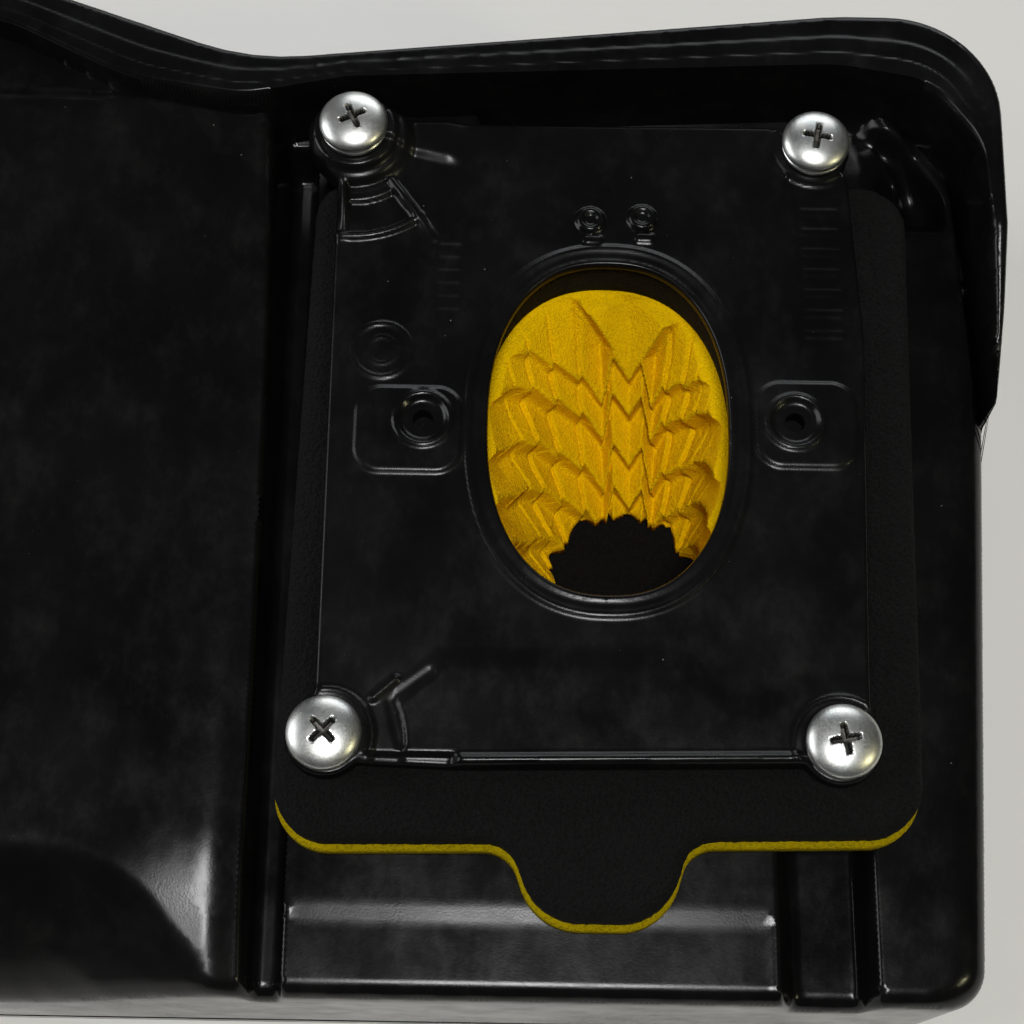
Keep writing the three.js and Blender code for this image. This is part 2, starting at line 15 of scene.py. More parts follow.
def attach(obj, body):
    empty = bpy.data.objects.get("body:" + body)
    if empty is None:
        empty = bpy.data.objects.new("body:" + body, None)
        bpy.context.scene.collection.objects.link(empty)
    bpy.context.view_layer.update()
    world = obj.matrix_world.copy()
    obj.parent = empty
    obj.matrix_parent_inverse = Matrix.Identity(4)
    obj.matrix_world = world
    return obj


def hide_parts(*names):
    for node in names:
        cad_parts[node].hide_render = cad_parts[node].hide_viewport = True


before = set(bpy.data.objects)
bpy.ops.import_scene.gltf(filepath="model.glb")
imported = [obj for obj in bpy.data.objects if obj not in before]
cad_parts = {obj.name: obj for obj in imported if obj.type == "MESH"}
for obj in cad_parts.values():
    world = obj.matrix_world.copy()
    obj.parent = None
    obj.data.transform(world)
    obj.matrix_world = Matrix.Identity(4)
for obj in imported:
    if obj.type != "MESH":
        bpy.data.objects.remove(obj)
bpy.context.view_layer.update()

MM = 0.001

# ---------------- levels and places, in millimetres
WALL_FOOT = 6.0
LEDGE = 54.0
BODY = 60.0
RIM = 72.0
PLATE_LOW = 63.0
PLATE = 66.0
CASE_LEFT, CASE_RIGHT = -135.0, 72.5
CASE_NEAR = -96.5
SCREW_X = (-46.5, 38.1)
SCREW_Y = 56.0
SCREWS = [(x, y) for y in (SCREW_Y, -SCREW_Y) for x in SCREW_X]
TALL_BOSS = 4.0
OVAL = (21.0, 31.0, 2.35)
GAP = 0.3                         # clearance between pieces that move or fit over each other
WELL = (39.0, 48.0, 8.0)          # half sizes and corner of the filter's well, and of the rebate around it
REBATE = (41.3, 50.3, 10.0)
DITCH_X = (-56.2, -57.7)          # middle of the ditch at its near and far ends
DITCH_Y = (CASE_NEAR, 62.0)
CHANNEL_LEFT = 28.0               # the near bay's channel


# ---------------- plane outlines
def rounded(corners, step=math.radians(7), closed=True):
    """Corners (x, y, radius) as points, with a true arc at each corner that has a radius."""
    points = []
    count = len(corners)
    for i, (x, y, radius) in enumerate(corners):
        here = Vector((x, y))
        if radius == 0 or (not closed and i in (0, count - 1)):
            points.append(here)
            continue
        back = (Vector(corners[i - 1][:2]) - here).normalized()
        ahead = (Vector(corners[(i + 1) % count][:2]) - here).normalized()
        half = back.angle(ahead) / 2
        centre = here + (back + ahead).normalized() * (radius / math.sin(half))
        reach = radius / math.tan(half)
        start = here + back * reach - centre
        end = here + ahead * reach - centre
        sweep = start.angle_signed(end)
        steps = max(1, math.ceil(abs(sweep) / step))
        for k in range(steps + 1):
            turn = Matrix.Rotation(-sweep * k / steps, 2)
            points.append(centre + turn @ start)
    return np.array([tuple(p) for p in points])


def box_line(half_x, half_y, radius):
    """A rounded rectangle about the origin."""
    return rounded([(-half_x, -half_y, radius), (half_x, -half_y, radius), (half_x, half_y, radius),
                    (-half_x, half_y, radius)])


def around(count):
    """Evenly spaced angles of one turn."""
    return np.arange(count) * 2 * np.pi / count


def squared(a, b, n, angle, x=0.0, y=0.0):
    """Points on a superellipse of exponent n, at the given angles."""
    def power(v):
        return np.sign(v) * np.abs(v) ** (2 / n)
    return np.c_[x + a * power(np.cos(angle)), y + b * power(np.sin(angle))]


def superellipse(a, b, n, count=120, x=0.0, y=0.0):
    return squared(a, b, n, around(count), x, y)


def circle(radius, count=48, x=0.0, y=0.0):
    return superellipse(radius, radius, 2, count, x, y)


def resample(points, spacing, closed=True):
    """The same line with evenly spaced points."""
    line = np.r_[points, points[:1]] if closed else points
    steps = np.hypot(*np.diff(line, axis=0).T)
    along = np.r_[0, np.cumsum(steps)]
    count = max(3, int(round(along[-1] / spacing)))
    wanted = np.linspace(0, along[-1], count + (not closed), endpoint=not closed)
    return np.c_[np.interp(wanted, along, line[:, 0]), np.interp(wanted, along, line[:, 1])]


def inset(points, distance):
    """A counterclockwise outline moved inwards."""
    edge = np.roll(points, -1, axis=0) - points
    normal = np.c_[-edge[:, 1], edge[:, 0]] / np.maximum(np.hypot(*edge.T), 1e-9)[:, None]
    before = np.roll(normal, 1, axis=0)
    mitre = 1 + (normal * before).sum(axis=1)
    return points + (normal + before) * (distance / np.maximum(mitre, 0.3))[:, None]


def distance_to(points, line, closed=True):
    """Distance from each point to a polyline."""
    ends = np.r_[line, line[:1]] if closed else line
    best = np.full(len(points), 1e9)
    for a, b in zip(ends[:-1], ends[1:]):
        edge = b - a
        length2 = max(edge @ edge, 1e-12)
        share = np.clip(((points - a) @ edge) / length2, 0, 1)
        gap = points - a - share[:, None] * edge
        best = np.minimum(best, np.hypot(gap[:, 0], gap[:, 1]))
    return best


def is_inside(points, outline):
    """Even-odd test of each point against a closed outline."""
    result = np.zeros(len(points), bool)
    x, y = points[:, 0], points[:, 1]
    for (x1, y1), (x2, y2) in zip(outline, np.roll(outline, -1, axis=0)):
        if y1 == y2:
            continue
        crosses = (y1 > y) != (y2 > y)
        result ^= crosses & (x < (x2 - x1) * (y - y1) / (y2 - y1) + x1)
    return result


def depth_in(points, outline):
    """Distance inwards from a closed outline, negative outside it."""
    return np.where(is_inside(points, outline), 1, -1) * distance_to(points, outline)


# ---------------- smooth functions
def smooth(low, high, value):
    t = np.clip((value - low) / (high - low), 0, 1)
    return t * t * (3 - 2 * t)


def bump(value, width):
    """One at zero, falling to nothing at the given half width."""
    t = np.clip(np.abs(value) / width, 0, 1)
    return (1 - t * t) ** 2


def blend_min(a, b, k):
    h = np.maximum(k - np.abs(a - b), 0) / k
    return np.minimum(a, b) - h * h * k / 4


def blend_max(a, b, k):
    return -blend_min(-a, -b, k)


def profile(value, stops, softness=0.5):
    """Heights through (place, height) stops, with the corners eased over the softness."""
    places, heights = np.array(stops, float).T
    fine = np.arange(places[0] - 2 * softness, places[-1] + 2 * softness, softness / 6)
    sharp = np.interp(fine, places, heights)
    kernel = np.hanning(13)[1:-1]
    eased = np.convolve(np.pad(sharp, 5, mode="edge"), kernel / kernel.sum(), mode="valid")
    return np.interp(value, fine, eased)


def round_over(depth, radius):
    """How far a rounded edge has dropped, at a given depth inside the outline."""
    t = np.clip(1 - depth / radius, 0, 1)
    return radius * (1 - np.sqrt(np.maximum(1 - t * t, 0)))


def hills(points, size, seed, octaves=3):
    """Smooth seeded noise over the plane, about -1 to 1."""
    rng = np.random.default_rng(seed)
    total = np.zeros(len(points))
    for octave in range(octaves):
        for _ in range(5):
            heading = rng.uniform(0, 2 * np.pi)
            wave = 2 ** octave * rng.uniform(0.7, 1.3) / size
            phase = rng.uniform(0, 2 * np.pi)
            along = points @ np.array([math.cos(heading), math.sin(heading)])
            total += np.sin(2 * np.pi * along * wave + phase) / 2 ** octave
    return total / 5


# ---------------- meshes
def make_piece(name, points, faces, material, sharp_angle=None):
    """A mesh object from points in millimetres."""
    mesh = bpy.data.meshes.new(name)
    mesh.from_pydata((np.asarray(points, float) * MM).tolist(), [], faces)
    mesh.validate()
    piece = bpy.data.objects.new(name, mesh)
    bpy.context.scene.collection.objects.link(piece)
    mesh.materials.append(material)
    shape = bmesh.new()
    shape.from_mesh(mesh)
    bmesh.ops.remove_doubles(shape, verts=shape.verts, dist=1e-7)
    bmesh.ops.recalc_face_normals(shape, faces=shape.faces)
    limit = math.radians(sharp_angle) if sharp_angle else math.pi
    for edge in shape.edges:
        edge.smooth = edge.calc_face_angle(0) < limit
    for face in shape.faces:
        face.smooth = True
    shape.to_mesh(mesh)
    shape.free()
    return piece


def triangulate(loops, inner):
    """Triangles over a region bounded by loops, the first its outline. The loops' points come first."""
    points = np.vstack([*loops, inner]) if len(inner) else np.vstack(loops)
    edges = []
    start = 0
    for loop in loops:
        count = len(loop)
        edges += [(start + i, start + (i + 1) % count) for i in range(count)]
        start += count
    _, _, faces, sources, _, _ = delaunay_2d_cdt([Vector(p) for p in points], edges, [], 0, 1e-7)
    origin = np.array([source[0] for source in sources])
    triangles = origin[np.array(faces)]
    middles = points[triangles].mean(axis=1)
    keep = is_inside(middles, loops[0])
    for loop in loops[1:]:
        keep &= ~is_inside(middles, loop)
    return points, triangles[keep]


def fill_points(loops, spacing, lines=(), fine=None, fine_spacing=0.5):
    """Points inside a region: lines first, then a staggered grid, finer where the fine test says so."""
    low, high = loops[0].min(axis=0), loops[0].max(axis=0)
    chosen = [line[region_mask(line, loops, 0.15)] for line in lines]
    guides = [(loop, True) for loop in loops] + [(line, False) for line in chosen if len(line) > 1]
    for step, is_fine in ((spacing, False), (fine_spacing, True)):
        if is_fine and fine is None:
            continue
        gx, gy = np.meshgrid(np.arange(low[0], high[0], step), np.arange(low[1], high[1], step * 0.87))
        gx = gx + (np.arange(len(gy)) % 2)[:, None] * step / 2
        grid = np.c_[gx.ravel(), gy.ravel()]
        if fine is not None:
            grid = grid[fine(grid) == is_fine]
        grid = grid[region_mask(grid, loops, step * 0.4)]
        near = step * 0.45
        for line, closed in guides:
            box = (grid > line.min(axis=0) - near).all(axis=1) & (grid < line.max(axis=0) + near).all(axis=1)
            close = np.zeros(len(grid), bool)
            close[box] = distance_to(grid[box], line, closed) < near
            grid = grid[~close]
        chosen.append(grid)
    return np.vstack(chosen)


def region_mask(points, loops, margin):
    keep = depth_in(points, loops[0]) > margin
    for loop in loops[1:]:
        keep &= depth_in(points, loop) < -margin
    return keep


def strip(first, second):
    """Quads between two rings of vertex numbers."""
    return np.c_[first, second, np.roll(second, -1), np.roll(first, -1)].tolist()


def sheet(name, loops, top, bottom, material, spacing, rows=(0.15, 0.4, 0.8), side_rows=1,
          fine=None, fine_spacing=0.5, sharp_angle=None):
    """A closed slab over a region: a relief on top, a plain underside, and walls along its loops.

    The rows are depths from each loop at which lines of points carry its rounded edge.
    """
    carried = [inset(loop, -depth if i else depth) for i, loop in enumerate(loops) for depth in rows]
    inner = fill_points(loops, spacing, carried, fine, fine_spacing)
    points, triangles = triangulate(loops, inner)
    flat_points, flat_triangles = triangulate(loops, np.zeros((0, 2)))
    upper = np.c_[points, top(points)]
    lower = np.c_[flat_points, bottom(flat_points)]
    vertices = [upper, lower]
    faces = triangles.tolist() + (flat_triangles[:, ::-1] + len(upper)).tolist()
    first = 0
    base = len(upper) + len(lower)
    for loop in loops:
        count = len(loop)
        rings = [np.arange(first, first + count)]
        for k in range(1, side_rows):
            share = k / side_rows
            vertices.append(upper[first:first + count] * (1 - share) + lower[first:first + count] * share)
            rings.append(np.arange(base, base + count))
            base += count
        rings.append(np.arange(first, first + count) + len(upper))
        for a, b in zip(rings[:-1], rings[1:]):
            faces += strip(a, b)
        first += count
    return make_piece(name, np.vstack(vertices), faces, material, sharp_angle)


def grid_faces(rows, columns):
    """Quads over a stack of rings of the same count."""
    faces = []
    for r in range(rows - 1):
        low, high = r * columns, (r + 1) * columns
        for c in range(columns):
            ahead = (c + 1) % columns
            faces.append((low + c, low + ahead, high + ahead, high + c))
    return faces


def ring_at(radius, height, angle):
    return np.c_[radius * np.cos(angle), radius * np.sin(angle), height * np.ones(len(angle))]


def layer(points, height):
    """Plane points at one height, or at their own heights."""
    return np.c_[points, height * np.ones(len(points))]


def lathe(name, stops, material, sides=64, sharp_angle=35):
    """A profile of (radius, height), closed and turned about Z."""
    rings = [ring_at(radius, height, around(sides)) for radius, height in (*stops, stops[0])]
    return make_piece(name, np.vstack(rings), grid_faces(len(rings), sides), material, sharp_angle)


def arc_stops(radius, height, corner, start, end, steps=4):
    """Profile stops around a rounded corner."""
    angles = np.radians(np.linspace(start, end, steps + 1))
    return [(radius + corner * math.cos(a), height + corner * math.sin(a)) for a in angles]


def place(piece, x=0.0, y=0.0, z=0.0, axis="Z", turn=0.0):
    """Turns a piece made about Z, then moves it, in its mesh."""
    aims = {
        "Z": Matrix.Identity(4),
        "-X": Matrix.Rotation(math.radians(-90), 4, "Y"),
        "-Y": Matrix.Rotation(math.radians(90), 4, "X"),
    }
    spin = Matrix.Rotation(math.radians(turn), 4, "Z")
    piece.data.transform(Matrix.Translation(Vector((x, y, z)) * MM) @ aims[axis] @ spin)
    return piece


def settle(piece, body, slot, *nodes):
    """Rides a piece on its body, in place of the CAD nodes that it stands for. The slot is not used."""
    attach(piece, body)
    if nodes:
        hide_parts(*nodes)


def turned(name, stops, material, at, axis, sides, *home):
    """A lathe piece, placed and settled."""
    settle(place(lathe(name, stops, material, sides), *at, axis), *home)


def soften(node, width):
    """A small rounding on an unchanged CAD node's edges."""
    modifier = node.modifiers.new("rounding", "BEVEL")
    modifier.width = width * MM
    modifier.segments = 2
    modifier.limit_method = "ANGLE"
    modifier.angle_limit = math.radians(30)


# ---------------- materials
class Graph:
    """A material's node tree, with the frame's coordinates in millimetres."""

    def __init__(self, name):
        self.material = bpy.data.materials.new(name)
        self.material.use_nodes = True
        self.tree = self.material.node_tree
        self.shader = self.tree.nodes["Principled BSDF"]
        inputs = {"Vector": self.add("ShaderNodeTexCoord").outputs["Object"], "Scale": (1000, 1000, 1000)}
        self.place = self.add("ShaderNodeMapping", inputs).outputs[0]

    def add(self, kind, inputs=None, **settings):
        node = self.tree.nodes.new(kind)
        for key, value in settings.items():
            setattr(node, key, value)
        for key, value in (inputs or {}).items():
            self.feed(node.inputs[key], value)
        return node

    def feed(self, socket, value):
        if isinstance(value, bpy.types.NodeSocket):
            self.tree.links.new(value, socket)
        else:
            socket.default_value = value

    def set(self, **values):
        for key, value in values.items():
            self.feed(self.shader.inputs[key.replace("_", " ")], value)

    def noise(self, size, detail=3.0, roughness=0.55, stretch=None):
        """Noise with features of the given size in millimetres."""
        place_in = self.place
        if stretch:
            place_in = self.add("ShaderNodeMapping", {"Vector": self.place, "Scale": stretch}).outputs[0]
        inputs = {"Vector": place_in, "Scale": 1 / size, "Detail": detail, "Roughness": roughness}
        return self.add("ShaderNodeTexNoise", inputs).outputs["Fac"]

    def cells(self, size):
        return self.add("ShaderNodeTexVoronoi", {"Vector": self.place, "Scale": 1 / size})

    def spread(self, value, low, high, to_low=0.0, to_high=1.0):
        inputs = {"Value": value, "From Min": low, "From Max": high, "To Min": to_low, "To Max": to_high}
        return self.add("ShaderNodeMapRange", inputs).outputs["Result"]

    def maths(self, operation, a, b):
        return self.add("ShaderNodeMath", {0: a, 1: b}, operation=operation).outputs[0]

    def mix(self, share, a, b):
        """A mix of two colours. The mix node keeps its colour sockets at 6 and 7, and the result at 2."""
        return self.add("ShaderNodeMix", {0: share, 6: a, 7: b}, data_type="RGBA").outputs[2]

    def bump(self, height, distance, strength=1.0, under=None):
        """Bump with its distance in millimetres."""
        inputs = {"Height": height, "Distance": distance * MM, "Strength": strength}
        if under:
            inputs["Normal"] = under
        return self.add("ShaderNodeBump", inputs).outputs["Normal"]


DUST = (0.24, 0.23, 0.2, 1)
FILM = (0.05, 0.047, 0.042, 1)
STAIN = (0.12, 0.11, 0.1, 1)


def grey(value, blue=1.0):
    return (value, value, value * blue, 1.0)


def dust_mask(graph, spacing, size):
    """Sparse small specks: one here and there in a field of cells."""
    cells = graph.cells(spacing)
    speck = graph.spread(cells.outputs["Distance"], size / spacing, size / spacing * 0.5)
    lottery = graph.add("ShaderNodeSeparateColor", {"Color": cells.outputs["Color"]}).outputs[0]
    return graph.maths("MULTIPLY", speck, graph.maths("GREATER_THAN", lottery, 0.62))


def plastic(name, shade, roughness, grain=0.35, dust=0.5):
    """Black moulded plastic: fine grain, faint flow marks, handling wear and a little dust."""
    graph = Graph(name)
    patches = graph.noise(28, 4)
    fine = graph.noise(grain, 2)
    wear = graph.noise(7, 5, 0.7, stretch=(1.0, 0.7, 1.0))
    base = graph.mix(graph.spread(patches, 0.35, 0.7), grey(shade * 0.8, 1.05), grey(shade * 1.35, 1.0))
    film = graph.maths("MULTIPLY", graph.spread(wear, 0.5, 0.75), 0.06)
    dusty = graph.mix(film, base, FILM)
    specks = graph.maths("MULTIPLY", dust_mask(graph, 5.5, 0.16), dust)
    small_specks = graph.maths("MULTIPLY", dust_mask(graph, 2.3, 0.07), dust * 0.6)
    coloured = graph.mix(graph.maths("MAXIMUM", specks, small_specks), dusty, DUST)
    rough = graph.maths("ADD", graph.spread(patches, 0.3, 0.7, roughness - 0.05, roughness + 0.06),
                        graph.spread(wear, 0.4, 0.75, 0.0, 0.1))
    waviness = graph.bump(graph.noise(18, 2), 0.1, 0.3)
    normal = graph.bump(fine, 0.018, 0.55, waviness)
    graph.set(Base_Color=coloured, Roughness=rough, Normal=normal)
    graph.shader.inputs["Specular IOR Level"].default_value = 0.22
    return graph.material


def foam(name, dark, light, cell, sparkle):
    """Open-cell foam: pores of several sizes with painted shade in their hollows, oil sheen on the cell
    walls.
    """
    graph = Graph(name)
    pores = graph.cells(cell)
    tiny = graph.cells(cell * 0.45)
    blotch = graph.noise(9, 4)
    height = graph.maths("ADD", graph.spread(pores.outputs["Distance"], 0.0, 0.7),
                         graph.maths("MULTIPLY", graph.spread(tiny.outputs["Distance"], 0.0, 0.7), 0.4))
    # colour darkens towards each pore's middle, where the bump dips: painted shade in the pores
    depth = graph.maths("MULTIPLY", graph.spread(pores.outputs["Distance"], 0.05, 0.5), 0.7)
    share = graph.maths("ADD", depth, graph.spread(blotch, 0.3, 0.7, 0.0, 0.3))
    graph.set(
        Base_Color=graph.mix(share, dark, light),
        Roughness=graph.spread(tiny.outputs["Distance"], 0.1, 0.6, 1.0 - sparkle, 1.0),
        Normal=graph.bump(height, cell * 0.42, 0.9, graph.bump(blotch, 0.5, 0.3)),
    )
    graph.shader.inputs["Specular IOR Level"].default_value = sparkle
    return graph.material


def metal(name, colour, tint, roughness, size=1.2):
    """Plated metal: cloudy tint, fine tool marks and small pits."""
    graph = Graph(name)
    clouds = graph.noise(size * 2.4, 3)
    marks = graph.noise(0.22, 4, 0.7)
    pits = graph.noise(0.7, 3, 0.6)
    stained = graph.mix(graph.spread(clouds, 0.35, 0.68), colour, tint)
    darker = graph.mix(graph.spread(pits, 0.62, 0.75, 0.0, 0.35), stained, STAIN)
    graph.set(
        Base_Color=darker,
        Roughness=graph.spread(marks, 0.3, 0.75, roughness * 0.75, roughness * 1.5),
        Normal=graph.bump(marks, 0.012, 0.5, graph.bump(clouds, 0.06, 0.35)),
    )
    graph.shader.inputs["Metallic"].default_value = 1.0
    return graph.material


def rubber(name, shade):
    """Matt rubber with a faint grey bloom."""
    graph = Graph(name)
    clouds = graph.noise(6, 4)
    fine = graph.noise(0.5, 4, 0.65)
    bloom = (shade * 2.2, shade * 2.1, shade * 1.9, 1)
    graph.set(
        Base_Color=graph.mix(graph.spread(clouds, 0.4, 0.75, 0.0, 0.5), grey(shade), bloom),
        Roughness=graph.spread(fine, 0.3, 0.7, 0.62, 0.85),
        Normal=graph.bump(fine, 0.05, 0.5),
    )
    graph.shader.inputs["Specular IOR Level"].default_value = 0.35
    return graph.material


def bench(name):
    """A pale, slightly uneven table top."""
    graph = Graph(name)
    clouds = graph.noise(60, 3)
    graph.set(
        Base_Color=graph.mix(clouds, (0.70, 0.69, 0.665, 1), (0.76, 0.75, 0.725, 1)),
        Roughness=graph.spread(graph.noise(4, 3), 0.3, 0.7, 0.55, 0.7),
        Normal=graph.bump(graph.noise(1.5, 3), 0.03, 0.4),
    )
    return graph.material


CASE_PLASTIC = plastic("case_plastic", 0.0034, 0.18)
PLATE_PLASTIC = plastic("plate_plastic", 0.0034, 0.21, grain=0.3, dust=0.6)
CAGE_PLASTIC = plastic("cage_plastic", 0.010, 0.5)
FOAM_BLACK = foam("foam_black", (0.0004, 0.0004, 0.0004, 1), (0.003, 0.0029, 0.0029, 1), 0.75, 0.2)
FOAM_YELLOW = foam("foam_yellow", (0.76, 0.44, 0.0, 1), (0.90, 0.55, 0.0, 1), 0.42, 0.1)
# the same yellow foam, darker, for the flange whose edge sits in shade: painted shade
FOAM_YELLOW_SHADED = foam("foam_yellow_flange_shaded", (0.15, 0.11, 0.0, 1), (0.33, 0.24, 0.0, 1), 0.5, 0.1)
ZINC = metal("zinc", (0.74, 0.74, 0.70, 1), (0.58, 0.60, 0.59, 1), 0.34)
# darker zinc for the deep faces of the cross recesses: painted shade
ZINC_RECESS_SHADE = metal("zinc_recess_shade", (0.10, 0.095, 0.085, 1), (0.05, 0.047, 0.042, 1), 0.5)
BRASS = metal("brass", (0.60, 0.42, 0.17, 1), (0.48, 0.33, 0.14, 1), 0.3)
RUBBER = rubber("rubber", 0.012)


# ---------------- case outline and rim
FAR_CORNERS = [(63.0, CASE_NEAR, 7), (71.0, 25.0, 80), (CASE_RIGHT, 81.5, 20), (42.0, 81.5, 40),
               (-66.0, 69.8, 45), (-112.0, 86.5, 35), (CASE_LEFT, 92.0, 12), (CASE_LEFT, CASE_NEAR, 14)]
CASE_OUTLINE = rounded(FAR_CORNERS)
RIM_INNER = rounded([
    (CASE_LEFT - 5, 82, 0), (-112, 77, 30), (-88, 65, 30), (-67, 61.5, 20), (-48, 65.6, 15),
    (42, 70, 25), (59, 67, 12), (67.5, 55, 14), (69.5, 8, 0),
], closed=False)
RIM_REGION = np.vstack([RIM_INNER, [(90, 8), (90, 110), (CASE_LEFT - 5, 110)]])
PANEL_LINE = -83.0                # a faint step across the near panel
PIT_FLOOR = 45.5                  # the far corner's scoop

# where the smooth half's facet and its two falls meet, and the directions down them
DROP_VERTEX = np.array([-84.1, -72.5])
ACROSS_FACET = np.array([0.323, -0.947])
ACROSS_FALL = np.array([-0.61, -0.79])

# sections, as stops of (place, height)
DROP = [(-8, 12), (0, 0), (4, -3), (11, -9), (18, -15.5), (24, -23), (30, -36)]
VALLEY = [(-8, 76), (-3.7, 63), (-2.6, 47.2), (-1.2, 46), (1.6, 46), (2.7, 47.4), (3.3, 56), (4, 70)]
CHANNEL_SECTION = [(26, 66), (28.4, 55), (31.8, 44.6), (33.2, 44), (42.6, 44), (43.6, 44.8), (44.9, 55),
                   (46.4, 70)]
PIT_NEAR = [(40, 70), (45.2, 56), (46.6, 53), (50, 47.5), (55, PIT_FLOOR), (90, PIT_FLOOR)]
PIT_LEFT = [(48, 74), (55.4, 55.5), (57.4, 49), (60, PIT_FLOOR), (90, PIT_FLOOR)]
PIT_RIDGE = np.array([(45.0, 73.0), (51.5, 69.5), (55.0, 63.0), (55.0, 54.0)])
RIM_SECTION = [(-1, -1.0), (0, -0.5), (0.8, -0.25), (1.6, -0.2), (5.1, -0.2), (5.5, 0.0), (8.0, 0.0),
               (8.3, -0.25), (8.8, 0.05), (11.4, 0.0), (13, -0.2)]


def ditch_middle(y):
    return np.interp(y, DITCH_Y, DITCH_X)


def left_body(x, y):
    """The smooth half: a crowned top, a flat facet near its corner, and a steep fall to the near side."""
    points = np.c_[x, y]
    top = BODY - 0.00035 * ((x + 97) ** 2) - 0.0002 * (y + 5) ** 2 + 0.25 * hills(points, 90, 3, 2)
    from_vertex = points - DROP_VERTEX
    facet = BODY - 0.17 * (from_vertex @ ACROSS_FACET)
    fall_left = BODY + profile(DROP_VERTEX[1] - y, DROP, 1.6)
    fall_right = BODY + profile(from_vertex @ ACROSS_FALL, DROP, 1.6)
    fall = blend_max(fall_left, fall_right, 6)
    return blend_min(blend_min(top, facet, 0.8), fall, 1.6)


def case_height(points):
    """The case's upper surface."""
    x, y = points.T
    edge = depth_in(points, CASE_OUTLINE)
    inwards = depth_in(points, RIM_REGION)
    beside_rim = np.maximum(-inwards, 0)

    # ledge, with the near panel's faint line and its slope
    line = smooth(PANEL_LINE + 0.6, PANEL_LINE - 0.6, y) * smooth(CHANNEL_LEFT + 1, CHANNEL_LEFT - 1, x)
    ledge = LEDGE - 0.3 * line + 0.06 * hills(points, 60, 8, 2)

    # the smooth half rises towards the rim, and meets it in a thin groove
    smooth_half = left_body(x, y) + 11.0 * np.clip((y + 50) / 125, 0, 1) ** 2
    smooth_half -= 2.0 * bump(beside_rim - 0.2, 1.2)

    # ditch between the halves
    off = x - ditch_middle(y)
    share = smooth(-3.6, -2.4, off)
    height = smooth_half * (1 - share) + ledge * share
    height -= smooth(-9.5, -3.0, off) * smooth(1.0, -3.0, off) * 1.3 * smooth(10, -60, y)
    depth_share = smooth(66, 58, y)
    valley = profile(off, VALLEY, 0.5) * depth_share + (LEDGE + 12) * (1 - depth_share)
    height = blend_min(height, valley, 1.6)

    # channel in the near part of the ledge
    channel = np.where(y < -60, profile(x, CHANNEL_SECTION, 0.5) + 30 * smooth(-66, -62, y), 90)
    height = blend_min(height, channel, 1.0)

    # the far corner's scoop
    pit_wall = profile(y, PIT_NEAR, 1.2)
    pit_side = profile(x + 0.35 * np.maximum(y - 50, 0), PIT_LEFT, 1.0)
    corner_rise = PIT_FLOOR + 24 * np.clip(1 - beside_rim / 7.5, 0, 1) ** 2
    scoop = np.maximum(blend_max(pit_wall, pit_side, 2.5), 0)
    scoop = blend_max(scoop, np.where((x > 50) & (y > 44), corner_rise, 0), 4)
    in_corner = (x > 47) & (y > 40)
    height = np.where(in_corner, blend_min(height, scoop, 2.2), height)
    height += 4.5 * bump(distance_to(points, PIT_RIDGE, closed=False), 5.0) * (y > 44)

    # narrow slot between the ledge and the lip on the right
    height -= 4.0 * bump(beside_rim - 0.3, 1.5) * smooth(58, 64, x) * smooth(5, 12, y) * smooth(60, 50, y)

    # edges before the rim rises
    radius = 3.0 + 3.0 * smooth(52, 60, x) * smooth(22, 4, y)
    height -= np.where(inwards > 0, 0, round_over(edge, radius))

    # rim: an outer shoulder, two fine steps and a crisp inner edge
    width = np.maximum(edge + inwards, 0.1)
    section = profile(np.clip(edge / width, 0, 1) * 12, RIM_SECTION, 0.22)
    crest = np.where(x > 40, np.interp(y, [4, 38], [BODY, RIM]), RIM)
    rim = crest + section * np.clip(width / 8, 0.25, 1) - round_over(edge, 1.2)
    inner_edge = round_over(np.maximum(inwards, 0), 0.7 + 1.0 * smooth(56, 64, x))
    rise = smooth(-0.55, 0.35, inwards)
    return height * (1 - rise) + (rim - inner_edge * 0.8) * rise


CASE_WALL, CASE_CEILING = 3.0, 2.4
WALL_SHARES = (0.1, 0.35, 0.7, 0.97, 1.0)
WALL_TUCK = 0.35                  # how far the wall's foot is set in
LEDGE_THICK, REBATE_DEPTH = 4.5, 2.1
# steps to nearby points, so that the ceiling clears every dip above it
REACH = [(3, 0), (-3, 0), (0, 3), (0, -3), (2, 2), (-2, -2), (2, -2), (-2, 2)]


